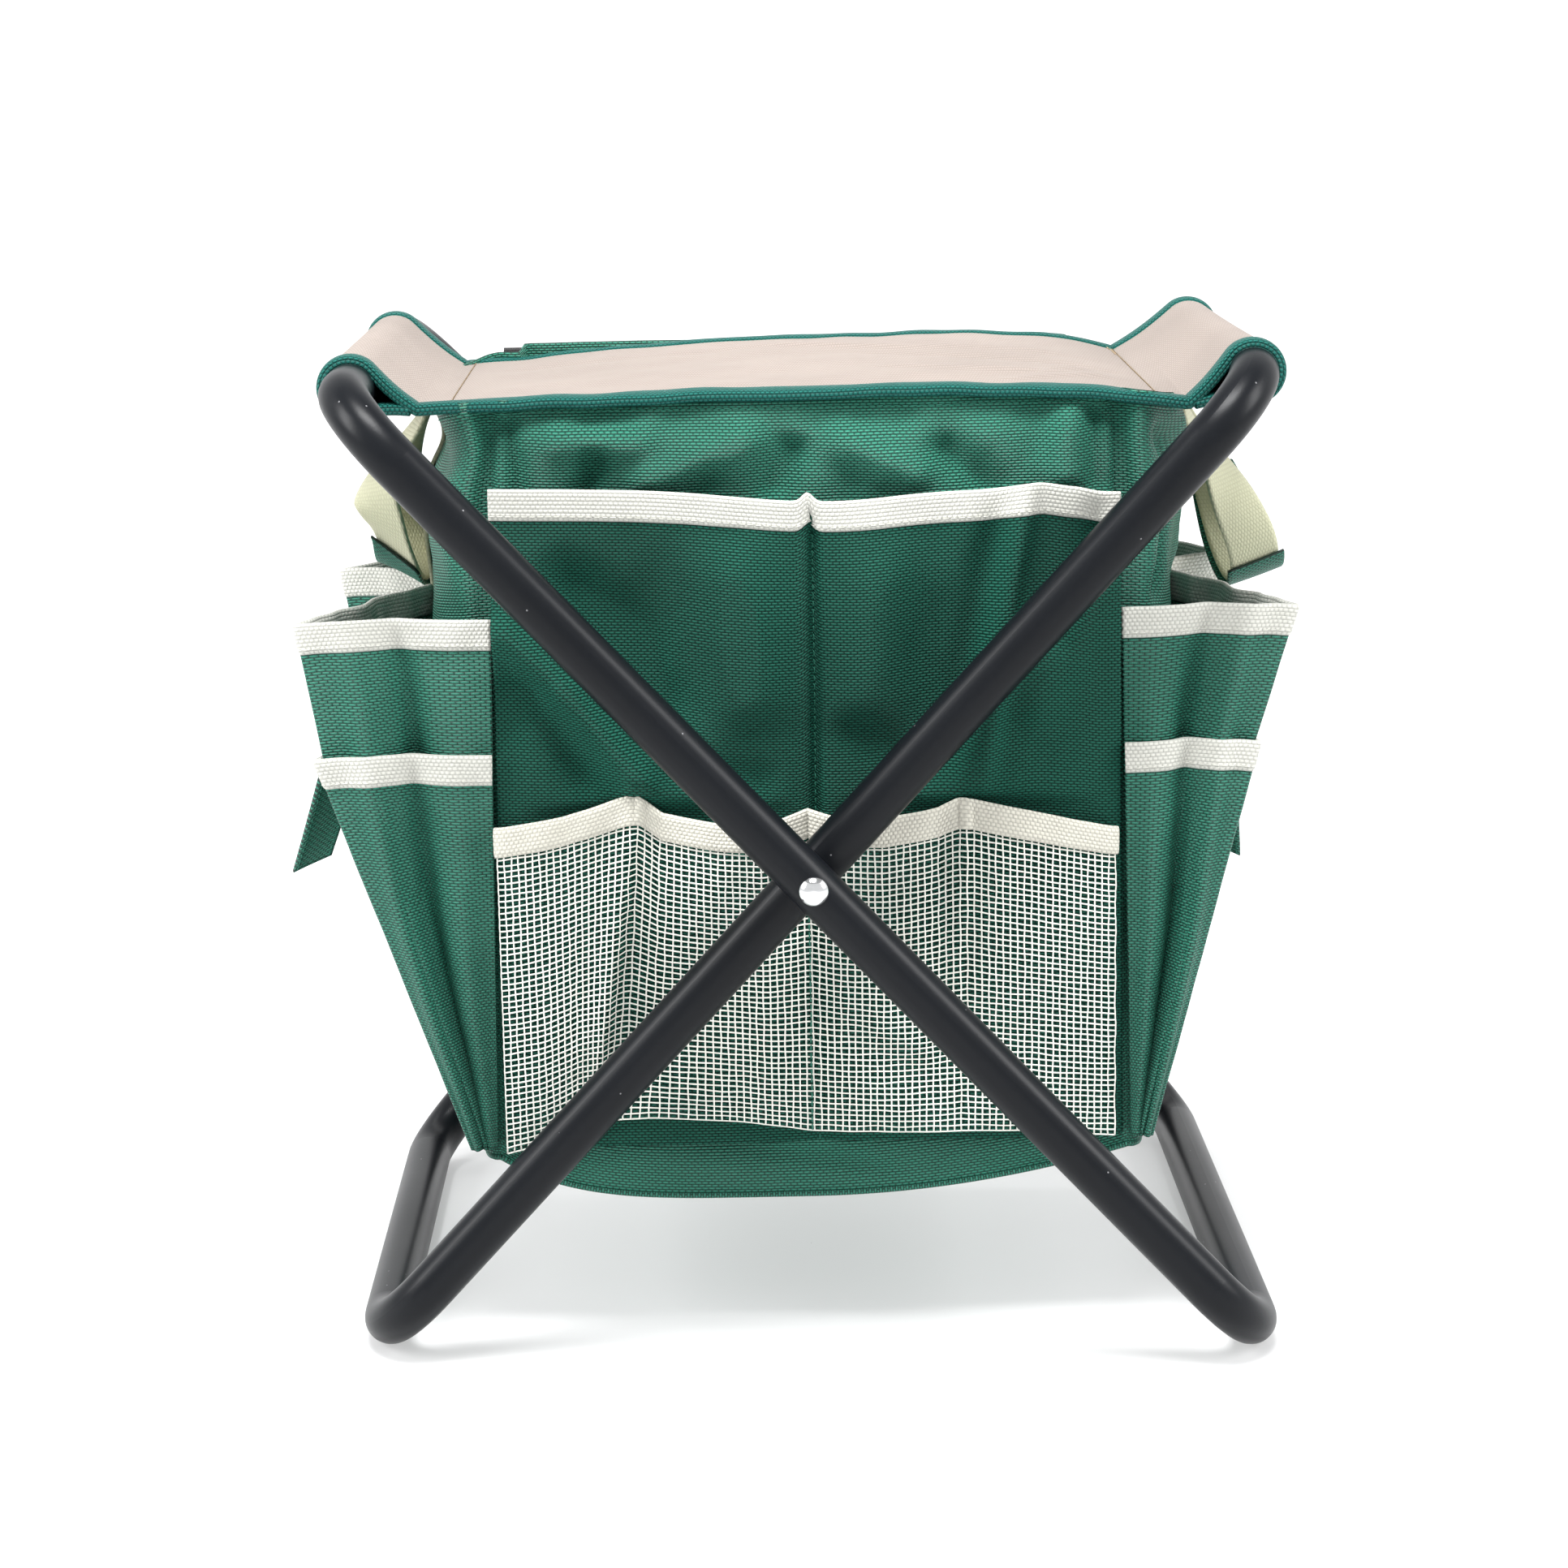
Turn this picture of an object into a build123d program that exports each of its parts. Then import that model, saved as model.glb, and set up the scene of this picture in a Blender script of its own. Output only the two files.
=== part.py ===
# Folding garden stool with a hanging tool bag.
# Millimetres, real size.  X right, Y away from the front, Z up.
# The floor is z = 0 and the Z axis runs up the middle of the footprint.
import math
import os

from build123d import *

os.makedirs("parts", exist_ok=True)

# ---- frame ---------------------------------------------------------------
tube_r = 10.0                 # outer radius of the bent steel tube
tube_wall = 1.2
leg_half = 265.5              # pivot to the axis of either cross rail
leg_angle = 47.2              # open legs, degrees above the floor
bend_r = 32.0                 # bend radius on the tube axis
spacer_t = 2.3                # gap between the crossed tubes
outer_depth = 160.5           # pivot line: outer leg axis, half depth
inner_depth = outer_depth - 2 * tube_r - spacer_t
seam_gap = 0.4                # butt seam in each top rail
splice_len = 44.0
splice_fit = 0.05             # radial clearance of the splice plug
pivot_z = tube_r + leg_half * math.sin(math.radians(leg_angle))
rail_x = leg_half * math.cos(math.radians(leg_angle))
rail_z = pivot_z + leg_half * math.sin(math.radians(leg_angle))

# ---- pivot hardware ------------------------------------------------------
rivet_r = 3.0
pivot_fit = 0.05              # radial running clearance of the rivet
head_r = 5.8
head_h = 2.6
spacer_r = 7.5
burr_r = 5.5
burr_t = 0.8
tail_r = 4.2
tail_h = 1.6
face_gap = 0.02               # each side of the spacer washer

# ---- seat ----------------------------------------------------------------
cloth_t = 1.0
tape_t = 0.6
sleeve_gap = 0.95             # tube surface to the inside of the sleeve
seat_end_gap = 0.2            # seat edge to the start of the rail's bend
seat_stitch_in = 29.39        # rail axis in to the stitch row
seat_stitch_drop = 8.12       # rail axis down to the stitch row
seat_mid_drop = 2.12
seat_half = inner_depth - bend_r - seat_end_gap
seat_stitch_x = rail_x - seat_stitch_in
seat_stitch_z = rail_z - seat_stitch_drop
seat_mid_z = rail_z - seat_mid_drop
seat_tape_w = 8.0
tape_fit = 0.05

# ---- bag -----------------------------------------------------------------
bag_t = 1.2
bag_hang = 6.62               # rail axis down to the hem
bag_height = 314.0
side_dip = 12.0               # side hems below the front and rear hems
hem_gap = 4.0                 # edge of the seat cloth to the bag panel beside it
bag_top = rail_z - bag_hang   # hem of the front and rear panels
side_top = bag_top - side_dip
bag_bottom = bag_top - bag_height
bag_sag = 17.0                # belly of the base below the corners
bag_half_y = seat_half + hem_gap
front_top_half = 125.0
front_bottom_half = 131.0
side_bulge_top = 157.0
side_bulge_bottom = 141.0
pocket_gap = 5.6              # fullness of a flat pocket
trim_w = 12.5
rim_gap = 0.1                 # pocket cloth ends just under its rim tape
seam_lap = 0.4                # sewn layers keep this much apart
tall_drop = 38.0              # hem down to each pocket rim
mesh_drop = 171.0
side_drop = 87.0
side_low_drop = 142.0
foot_rise = 5.0               # corner seam up to the pocket feet
tall_rim = bag_top - tall_drop
tall_half = 123.5
mesh_rim = bag_top - mesh_drop
mesh_half = 125.0
mesh_bottom = bag_bottom + foot_rise + 1.0
side_rim = bag_top - side_drop
side_low_rim = bag_top - side_low_drop
pocket_foot = bag_bottom + foot_rise
flare_tall = [(pocket_foot, 137.0), (side_low_rim, 192.0), (side_rim, 204.0)]
flare_short = [(pocket_foot, 143.5), (side_low_rim, 199.5)]
side_clear = 1.8              # side pocket to the panel behind it
shoulder_share = 0.72
shoulder_in = 32.0            # side fold in from the front or rear panel
fold_y = bag_half_y - shoulder_in
webbing_w = 24.0
webbing_t = 1.6


def save(part, label):
    """Name one finished solid and write it out."""
    part.label = label
    export_step(part, f"parts/{label}.step")


def loop_plane(side):
    """Plane of one tube loop: local x climbs the leg, local y is world Y."""
    a = math.radians(leg_angle)
    x_dir = Vector(side * math.cos(a), 0, math.sin(a))
    z_dir = x_dir.cross(Vector(0, 1, 0))
    return Plane(origin=(0, 0, pivot_z), x_dir=x_dir, z_dir=z_dir)


def tube_loop(side, half_depth):
    """One closed loop of tube with a butt seam in the top rail."""
    plane = loop_plane(side)
    cut = seam_gap / 2
    with BuildPart() as loop:
        with BuildLine(plane) as path:
            corners = [
                (leg_half, cut), (leg_half, half_depth), (-leg_half, half_depth),
                (-leg_half, -half_depth), (leg_half, -half_depth), (leg_half, -cut),
            ]
            FilletPolyline(*corners, radius=bend_r)
        start = path.wires()[0]
        section = Plane(origin=start @ 0, z_dir=start % 0)
        with BuildSketch(section):
            Circle(tube_r)
            Circle(tube_r - tube_wall, mode=Mode.SUBTRACT)
        sweep(path=start)
        for end in (-1, 1):
            eye = Plane(origin=(0, end * half_depth, pivot_z), z_dir=(0, 1, 0))
            with BuildSketch(eye):
                Circle(rivet_r + pivot_fit)
            extrude(amount=2 * tube_r, both=True, mode=Mode.SUBTRACT)
    return loop.part


def rail_splice(side):
    """Plug inside the tube that joins the two ends at the seam."""
    end = Plane(origin=(side * rail_x, 0, rail_z), z_dir=(0, 1, 0))
    with BuildPart() as plug:
        with BuildSketch(end):
            Circle(tube_r - tube_wall - splice_fit)
        extrude(amount=splice_len / 2, both=True)
        chamfer(plug.edges().filter_by(GeomType.CIRCLE), length=1.0)
    return plug.part


def pivot_rivet(end):
    """Domed rivet through both crossed tubes; end is -1 front, +1 rear."""
    outer_face = outer_depth + tube_r
    inner_face = inner_depth - tube_r
    tail = inner_face - burr_t
    crown = outer_face + head_h
    seat = Plane(origin=(0, 0, pivot_z), x_dir=(1, 0, 0), z_dir=(0, 0, 1))
    with BuildPart() as rivet:
        with BuildSketch(seat):
            with BuildLine():
                Polyline(
                    (0, end * crown), (0, end * (tail - tail_h)), (tail_r, end * (tail - tail_h)),
                    (tail_r, end * tail), (rivet_r, end * tail), (rivet_r, end * (outer_face - 2.2)),
                    (head_r, end * (outer_face - 2.2)), (head_r, end * (outer_face - 0.2)),
                )
                ThreePointArc(
                    (head_r, end * (outer_face - 0.2)),
                    (head_r * 0.62, end * (crown - 0.75)),
                    (0, end * crown),
                )
            make_face()
        revolve(axis=Axis((0, 0, pivot_z), (0, 1, 0)))
        leg = loop_plane(-1)
        leg.origin = (0, end * outer_depth, pivot_z)
        across = Plane(origin=leg.origin, z_dir=leg.x_dir)
        with BuildSketch(across):
            Circle(tube_r + face_gap)
            Circle(tube_r - tube_wall - face_gap, mode=Mode.SUBTRACT)
        saddle = extrude(amount=20, both=True, mode=Mode.PRIVATE)
        with BuildSketch(Plane(origin=(0, 0, pivot_z), z_dir=(0, 1, 0))):
            Circle(rivet_r)
        core = extrude(amount=400, both=True, mode=Mode.PRIVATE)
        add(saddle - core, mode=Mode.SUBTRACT)
    return rivet.part


def washer(end, near, thick, radius):
    """Flat ring on the pivot line with its near face at |y| = near."""
    with BuildPart() as ring:
        with BuildSketch(Plane(origin=(0, end * near, pivot_z), z_dir=(0, end, 0))):
            Circle(radius)
            Circle(rivet_r + pivot_fit, mode=Mode.SUBTRACT)
        extrude(amount=thick)
    return ring.part


save(tube_loop(-1, outer_depth), "outer_frame")
save(tube_loop(1, inner_depth), "inner_frame")
save(rail_splice(-1), "outer_rail_splice")
save(rail_splice(1), "inner_rail_splice")
for end, word in ((-1, "front"), (1, "rear")):
    save(pivot_rivet(end), f"{word}_pivot_rivet")
    spacer_face = inner_depth + tube_r + face_gap
    save(washer(end, spacer_face, spacer_t - 2 * face_gap, spacer_r), f"{word}_pivot_spacer")
    burr_face = inner_depth - tube_r - burr_t + face_gap
    save(washer(end, burr_face, burr_t - 2 * face_gap, burr_r), f"{word}_rivet_washer")


# ---- seat ----------------------------------------------------------------
def seat_section(grow):
    """Cross-section of the seat cloth, grown on both faces by grow."""
    inner = tube_r + sleeve_gap - grow
    outer = tube_r + sleeve_gap + cloth_t + grow
    lip = cloth_t + grow
    with BuildSketch(Plane.XZ) as section:
        for side in (-1, 1):
            eye = (side * rail_x, rail_z)
            knot = (side * seat_stitch_x, seat_stitch_z)
            with BuildSketch(mode=Mode.PRIVATE) as skin:
                with Locations(eye):
                    Circle(outer)
                with Locations(knot):
                    Circle(lip)
                make_hull()
            with BuildSketch(mode=Mode.PRIVATE) as hollow:
                with Locations(eye):
                    Circle(inner)
                with Locations((side * (seat_stitch_x + 3), seat_stitch_z + 0.6)):
                    Circle(0.3)
                make_hull()
            add(skin.sketch)
            add(hollow.sketch, mode=Mode.SUBTRACT)
        half = cloth_t / 2 + grow
        with BuildLine(Plane.XZ):
            low = ThreePointArc(
                (-seat_stitch_x, seat_stitch_z - half), (0, seat_mid_z - half),
                (seat_stitch_x, seat_stitch_z - half),
            )
            high = ThreePointArc(
                (-seat_stitch_x, seat_stitch_z + half), (0, seat_mid_z + half),
                (seat_stitch_x, seat_stitch_z + half),
            )
            Line(low @ 0, high @ 0)
            Line(low @ 1, high @ 1)
        make_face()
    return section.sketch


def seat_cloth(low_y, high_y, grow):
    """Seat section carried from low_y to high_y."""
    with BuildPart() as cloth:
        with BuildSketch(Plane.XZ.offset(-low_y)):
            add(seat_section(grow))
        extrude(amount=-(high_y - low_y))
    return cloth.part


def seat_binding(end):
    """Folded tape that wraps one edge of the seat cloth."""
    near = seat_half - seat_tape_w + tape_t
    edge = seat_half + tape_fit
    far = seat_half + tape_t
    low_y, high_y = sorted((end * near, end * edge))
    with BuildPart() as faces:
        with BuildSketch(Plane.XZ.offset(-low_y)):
            add(seat_section(tape_t))
            add(seat_section(tape_fit), mode=Mode.SUBTRACT)
        extrude(amount=-(high_y - low_y))
    low_y, high_y = sorted((end * edge, end * far))
    return faces.part + seat_cloth(low_y, high_y, tape_t)


save(seat_cloth(-seat_half, seat_half, 0), "seat_sheet")
save(seat_binding(-1), "seat_front_binding")
save(seat_binding(1), "seat_rear_binding")


# ---- bag shell -----------------------------------------------------------
def flat_panel(points, y, thick):
    """Flat panel from an outline of (x, z) points, standing at y."""
    with BuildPart() as panel:
        with BuildSketch(Plane.XZ.offset(-y)):
            with BuildLine():
                Polyline(*points, close=True)
            make_face()
        extrude(amount=-thick)
    return panel.part


def thick_fold(levels, thick):
    """Ruled sheet through plan polylines given as (z, [(x, y), ...]).

    Every polyline has the same number of points.  The far skin is moved
    sideways along each corner's mean normal, so neighbouring facets join.
    """
    def skin(points):
        moved = []
        for i, (x, y) in enumerate(points):
            normals = []
            for j in (i - 1, i):
                if 0 <= j < len(points) - 1:
                    dx = points[j + 1][0] - points[j][0]
                    dy = points[j + 1][1] - points[j][1]
                    size = math.hypot(dx, dy)
                    normals.append((-dy / size, dx / size))
            nx = sum(n[0] for n in normals) / len(normals)
            ny = sum(n[1] for n in normals) / len(normals)
            size = math.hypot(nx, ny)
            reach = thick / max(size, 0.55)
            moved.append((x + nx / size * reach, y + ny / size * reach))
        return moved

    with BuildPart() as sheet:
        for z, points in levels:
            with BuildSketch(Plane.XY.offset(z)):
                with BuildLine():
                    Polyline(*points, *reversed(skin(points)), close=True)
                make_face()
        loft(ruled=True)
    return sheet.part


def face_outline(end, slack=0.0):
    """Outline of the front or rear panel with its sagging lower edge."""
    points = [(front_top_half, bag_top), (-front_top_half, bag_top)]
    for i in range(13):
        t = -1 + i / 6
        z = bag_bottom - bag_sag * (1 - t * t) - slack
        points.append((t * front_bottom_half, z))
    return points


def side_levels(side):
    """Plan shapes of a side panel at its foot, pocket rim and hem."""
    levels = []
    for z, corner, middle in (
        (bag_bottom + 3, front_bottom_half, side_bulge_bottom),
        (side_rim, front_top_half + 2, side_bulge_top),
        (side_top, front_top_half, side_bulge_top),
    ):
        shoulder = corner + shoulder_share * (middle - corner)
        reach = bag_half_y - 2.0
        row = [
            (side * corner, -reach), (side * shoulder, -fold_y), (side * middle, -36),
            (side * middle, 36), (side * shoulder, fold_y), (side * corner, reach),
        ]
        levels.append((z, row if side > 0 else row[::-1]))
    return levels


save(flat_panel(face_outline(-1), -bag_half_y, bag_t), "bag_front_panel")
save(flat_panel(face_outline(1), bag_half_y - bag_t, bag_t), "bag_rear_panel")
save(thick_fold(side_levels(-1), bag_t), "bag_left_panel")
save(thick_fold(side_levels(1), bag_t), "bag_right_panel")

with BuildPart() as base:
    reach = bag_half_y - bag_t - 0.3
    with BuildSketch(Plane.XZ.offset(reach)):
        with BuildLine():
            rim = front_bottom_half - 2
            floor_low = bag_bottom - bag_sag + 1.0
            lower = ThreePointArc((-rim, bag_bottom), (0, floor_low), (rim, bag_bottom))
            upper = ThreePointArc(
                (-rim, bag_bottom + bag_t), (0, floor_low + bag_t), (rim, bag_bottom + bag_t),
            )
            Line(lower @ 0, upper @ 0)
            Line(lower @ 1, upper @ 1)
        make_face()
    extrude(amount=-2 * reach)
save(base.part, "bag_base")


# ---- pockets on the front ------------------------------------------------
def leaning_sheet(low, high, thick):
    """Straight sheet between two rims given as (z, half width, inner y)."""
    levels = [(z, [(half, y), (-half, y)]) for z, half, y in (low, high)]
    return thick_fold(levels, thick)


def flat_pocket(name, foot, rim):
    """Pocket wall leaning off the cloth behind it, with tape on its rim."""
    z, half, y = rim
    save(leaning_sheet(foot, (z - trim_w - rim_gap, half, y), bag_t), name)
    tape_low = (z - trim_w, half + 0.4, y + tape_t / 2)
    tape_high = (z, half + 0.4, y + tape_t / 2)
    save(leaning_sheet(tape_low, tape_high, bag_t + tape_t), f"{name}_trim")


tall_foot_y = -bag_half_y - seam_lap
tall_rim_y = -bag_half_y - pocket_gap - 0.4
mesh_foot_y = tall_foot_y - bag_t - seam_lap
mesh_rim_y = tall_rim_y - pocket_gap
flat_pocket(
    "front_tall_pocket",
    (pocket_foot, tall_half + 4, tall_foot_y), (tall_rim, tall_half, tall_rim_y),
)
flat_pocket(
    "front_mesh_pocket",
    (mesh_bottom, mesh_half + 1.5, mesh_foot_y), (mesh_rim, mesh_half, mesh_rim_y),
)


# ---- pockets on the sides ------------------------------------------------
def between(z, marks):
    """Straight-line interpolation through (height, value) marks."""
    for (z0, v0), (z1, v1) in zip(marks, marks[1:]):
        if z <= z1:
            return v0 + (z - z0) / (z1 - z0) * (v1 - v0)
    return marks[-1][1]


def panel_x(z, row):
    """Half width of the side panel at height z on one of its folds."""
    low = dict(edge=front_bottom_half, middle=side_bulge_bottom)
    top = dict(edge=front_top_half + 2, middle=side_bulge_top)
    if row == "shoulder":
        edge, middle = panel_x(z, "edge"), panel_x(z, "middle")
        return edge + shoulder_share * (middle - edge)
    return between(z, [(bag_bottom + 3, low[row]), (side_rim, top[row]), (side_top, top[row])])


def pocket_row(side, place, layer, z):
    """Plan polyline of one bellows pocket at height z; layer 0 is the tall one."""
    lift = side_clear
    lap = bag_t + seam_lap
    if layer:
        lift += between(z, [(pocket_foot, lap), (side_low_rim, bag_t + pocket_gap)])
    marks = flare_short if layer else flare_tall
    corner = between(z, marks)
    front_y = -bag_half_y - bag_t - lift
    if place == "front":
        row = [
            (panel_x(z, "edge") + side_clear, front_y), (corner, front_y),
            (panel_x(z, "middle") + bag_t + lift, -webbing_w / 2 - 2.0),
        ]
    else:
        middle = panel_x(z, "middle") + bag_t + lift
        corner = max(corner - 2.0, middle + 1.5)
        forward = 20.0 + 14.0 * (corner - middle) / 45.0
        row = [
            (middle, webbing_w / 2 + 3.0), (corner, forward),
            (panel_x(z, "shoulder") + bag_t + 0.8 + lift, fold_y + 2.0),
            (panel_x(z, "edge") + bag_t + 1.0 + lift, bag_half_y - 5.0),
        ]
    row = [(side * x, y) for x, y in row]
    return row if side < 0 else row[::-1]


def bellows(side, place, layer, low_z, high_z, thick):
    """Folded pocket wall between two heights."""
    heights = [low_z, high_z]
    if low_z < side_low_rim < high_z:
        heights = [low_z, side_low_rim, high_z]
    rows = [(z, pocket_row(side, place, layer, z)) for z in heights]
    return thick_fold(rows, thick)


for side, hand in ((-1, "left"), (1, "right")):
    for place in ("front", "rear"):
        for layer, word, rim in ((0, "side", side_rim), (1, "short", side_low_rim)):
            name = f"{hand}_{place}_{word}_pocket"
            edge = rim - trim_w
            save(bellows(side, place, layer, pocket_foot, edge - rim_gap, bag_t), name)
            save(bellows(side, place, layer, edge, rim, bag_t + tape_t / 2), f"{name}_trim")


# ---- handles and small tabs ----------------------------------------------
handle_top = (172.0, bag_top - 18.0)    # x and z of the sewn ends
handle_low = (193.0, bag_top - 82.0)    # x and z of the hanging middle
handle_spread = 20.0
handle_t = 1.8
grip_t = 1.0


def handle_plane(side):
    """Plane of a hanging handle: local x is world Y, local y climbs it."""
    rise = Vector(side * (handle_top[0] - handle_low[0]), 0, handle_top[1] - handle_low[1])
    rise = rise.normalized()
    origin = (side * handle_low[0], 0, handle_low[1])
    return Plane(origin=origin, x_dir=(0, 1, 0), z_dir=Vector(0, 1, 0).cross(rise))


def hanging_strap(side, radius, thick, climb, width):
    """U of strap in the handle's plane."""
    with BuildPart() as strap:
        with BuildSketch(handle_plane(side)):
            with Locations((0, radius)):
                Circle(radius)
                Circle(radius - thick, mode=Mode.SUBTRACT)
            with Locations((0, 2 * radius)):
                Rectangle(4 * radius, 2 * radius, mode=Mode.SUBTRACT)
            for leg in (-1, 1):
                with Locations((leg * (radius - thick / 2), radius + climb / 2)):
                    Rectangle(thick, climb)
        extrude(amount=width / 2, both=True)
    return strap.part


handle_climb = math.dist(handle_top, handle_low) - handle_spread
for side, hand in ((-1, "left"), (1, "right")):
    with BuildPart() as anchor:
        with Locations((side * (side_bulge_top + bag_t + 0.05 + webbing_t / 2), 0, bag_top - 50.0)):
            Box(webbing_t, webbing_w, 80.0)
    save(anchor.part, f"{hand}_handle_anchor")
    strap = hanging_strap(side, handle_spread, handle_t, handle_climb, webbing_w - 2)
    save(strap, f"{hand}_handle")
    inner_r = handle_spread + grip_t + 0.05
    grip = hanging_strap(side, inner_r, grip_t, 14.0, webbing_w)
    shift = Pos(Vector(0, 0, 0) - handle_plane(side).y_dir * (grip_t + 0.05))
    save(shift * grip, f"{hand}_handle_grip")

tab_w = 20.0
tab_len = 76.0
tab_lean = 0.24
for side, hand in ((-1, "left"), (1, "right")):
    tab_z = side_low_rim - 4.0
    row = pocket_row(-1, "rear", 1, tab_z)
    (x0, y0), (x1, y1) = row[1], row[2]
    size = math.dist(row[1], row[2])
    along = Vector(-side * (x1 - x0) / size, (y1 - y0) / size, 0)
    outward = Vector(side * along.Y, -side * along.X, 0)
    start = Vector(-side * x0, y0, tab_z) + along * (tab_w / 2 + 4.0)
    start += outward * (bag_t + tape_t / 2 + 0.4)
    lean = Plane(origin=start, x_dir=along, z_dir=outward + Vector(0, 0, tab_lean))
    with BuildPart() as tab:
        with BuildSketch(lean):
            with BuildLine():
                top = tab_w / 2
                fall = -1 if lean.y_dir.Z > 0 else 1
                Polyline(
                    (-top, 0), (top, 0), (top, fall * (tab_len - 8.0)),
                    (-top, fall * tab_len), close=True,
                )
            make_face()
        extrude(amount=1.5)
    save(tab.part, f"{hand}_tie_tab")

with BuildPart() as hem_loop:
    clip_y = bag_half_y - bag_t / 2
    with BuildSketch(Plane.YZ.offset(-124.5)):
        with Locations((clip_y, bag_top - 2.4)):
            Rectangle(bag_t + 3.2, 6.2)
        with Locations((clip_y, bag_top - 3.9 - 2.0)):
            Rectangle(bag_t + 0.2, 11.8, mode=Mode.SUBTRACT)
    extrude(amount=9.5)
    fillet(hem_loop.edges().filter_by(Axis.X).group_by(Axis.Z)[-1], radius=1.4)
save(hem_loop.part, "rear_hem_loop")
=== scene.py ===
"""Folding garden stool with a hanging tool bag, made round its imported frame.

Sizes are metres in the frame's own axes: X right, Y away from the mesh
pockets, Z up.  Cloth pieces are grids of points whose columns run to the
right and whose rows run up as seen from outside, so faces point outwards.
"""

import math

import bpy
import numpy as np
from bpy.props import FloatProperty, FloatVectorProperty, PointerProperty
from mathutils import Matrix, Vector


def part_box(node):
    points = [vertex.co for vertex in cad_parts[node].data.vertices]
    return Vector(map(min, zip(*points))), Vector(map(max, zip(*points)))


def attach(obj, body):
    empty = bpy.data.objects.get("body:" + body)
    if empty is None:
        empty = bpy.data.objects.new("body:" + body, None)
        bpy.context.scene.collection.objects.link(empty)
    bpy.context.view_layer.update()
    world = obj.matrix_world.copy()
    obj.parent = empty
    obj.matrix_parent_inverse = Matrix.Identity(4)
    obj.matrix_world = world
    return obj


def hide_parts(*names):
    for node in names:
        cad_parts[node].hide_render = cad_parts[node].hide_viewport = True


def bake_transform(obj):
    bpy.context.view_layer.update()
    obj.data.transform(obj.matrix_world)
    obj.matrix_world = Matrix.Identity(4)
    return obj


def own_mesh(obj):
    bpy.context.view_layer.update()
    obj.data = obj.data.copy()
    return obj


bl_info = {
    "name": "Garden stool with tool bag",
    "version": (1, 0, 0),
    "blender": (4, 5, 0),
    "location": "3D View > Sidebar > Stool",
    "description": "Builds the seat, the bag and its pockets on the stool's frame",
    "category": "Object",
}

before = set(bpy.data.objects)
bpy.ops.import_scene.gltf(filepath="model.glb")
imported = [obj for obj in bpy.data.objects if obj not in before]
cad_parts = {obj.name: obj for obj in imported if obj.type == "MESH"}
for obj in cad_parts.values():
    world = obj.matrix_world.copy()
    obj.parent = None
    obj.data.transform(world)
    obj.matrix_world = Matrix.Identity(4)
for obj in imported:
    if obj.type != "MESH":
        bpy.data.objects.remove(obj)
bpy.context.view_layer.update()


def low(node):
    """Lowest corner of a frame node."""
    return np.array(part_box(node)[0])


def high(node):
    """Highest corner of a frame node."""
    return np.array(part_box(node)[1])


PANEL_Y = float(low("bag_front_panel")[1])
HEM_Z = float(high("bag_front_panel")[2])
SIDE_HEM_Z = float(high("bag_left_panel")[2])
RAIL = np.array([(high("outer_rail_splice")[0] + low("outer_rail_splice")[0]) / -2,
                 (high("outer_rail_splice")[2] + low("outer_rail_splice")[2]) / 2])
SEAT_HALF = float(high("seat_sheet")[1])
CLOTH = 0.0012                # thickness of the bag cloth
BASE_Z = 0.079                # corner seams of the bag's base
POCKET_FOOT = 0.084
POCKET_RIMS = (0.306, 0.251)  # deep and short side pockets
NET_LEFT, NET_RIGHT = -0.1275, 0.1245


# ---- shapes of cloth -------------------------------------------------------
def ease(t):
    """Smooth step from 0 to 1: 3t^2 - 2t^3 of t held between 0 and 1."""
    t = np.clip(t, 0.0, 1.0)
    return t * t * (3.0 - 2.0 * t)


def bell(t):
    """Bell curve: 1 at 0, falling as exp(-t^2)."""
    return np.exp(-t * t)


def soft_ramp(t, width):
    """Zero below 0 and t above it, with a rounded knee of the given width."""
    return width * np.logaddexp(0.0, t / width)


def fold(x, z, start, end, width, sharp=1.0):
    """Soft fold from start to end: a bell across the line, sharper by the
    given factor on its left side, fading out at both tips."""
    run = np.array(end, float) - np.array(start, float)
    size = np.hypot(*run)
    along = ((x - start[0]) * run[0] + (z - start[1]) * run[1]) / size ** 2
    off = ((x - start[0]) * run[1] - (z - start[1]) * run[0]) / size
    reach = np.where(off < 0, width / sharp, width)
    tips = ease((along + 0.12) / 0.3) * ease((1.12 - along) / 0.3)
    return bell(off / reach) * tips


def creases(x, z, table):
    """Sum of folds, each given as height, start, end, width and sharpness."""
    return sum(height * fold(x, z, *shape) for height, *shape in table)


def dents(x, z, table):
    """Sum of round dents or bulges: height, middle, half width, half height."""
    return sum(height * bell((x - middle[0]) / wide) * bell((z - middle[1]) / tall)
               for height, middle, wide, tall in table)


def slack(x, z, phase=0.0):
    """Unevenness of slack cloth: crossing sine waves 25 to 90 mm long, within
    about -1 and 1."""
    a = np.sin(x * 71 + z * 23 + phase) + np.sin(x * 31 - z * 97 + 2.1 * phase)
    b = np.sin(x * 143 + z * 61 + 1.3 + phase) * np.sin(z * 118 - x * 37 + phase)
    c = np.sin(x * 211 - z * 173 + 0.7 * phase)
    return 0.33 * a + 0.3 * b + 0.12 * c


def along_marks(z, marks):
    """Straight-line interpolation through (height, value) marks."""
    heights, values = zip(*marks)
    return np.interp(z, heights, values)


def normals(surface, around=False):
    """Unit normals of a grid: the column step crossed with the row step."""
    if around:
        step = np.roll(surface, -1, axis=1) - np.roll(surface, 1, axis=1)
    else:
        step = np.gradient(surface, axis=1)
    n = np.cross(step, np.gradient(surface, axis=0))
    return n / np.maximum(np.linalg.norm(n, axis=-1, keepdims=True), 1e-12)


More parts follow.
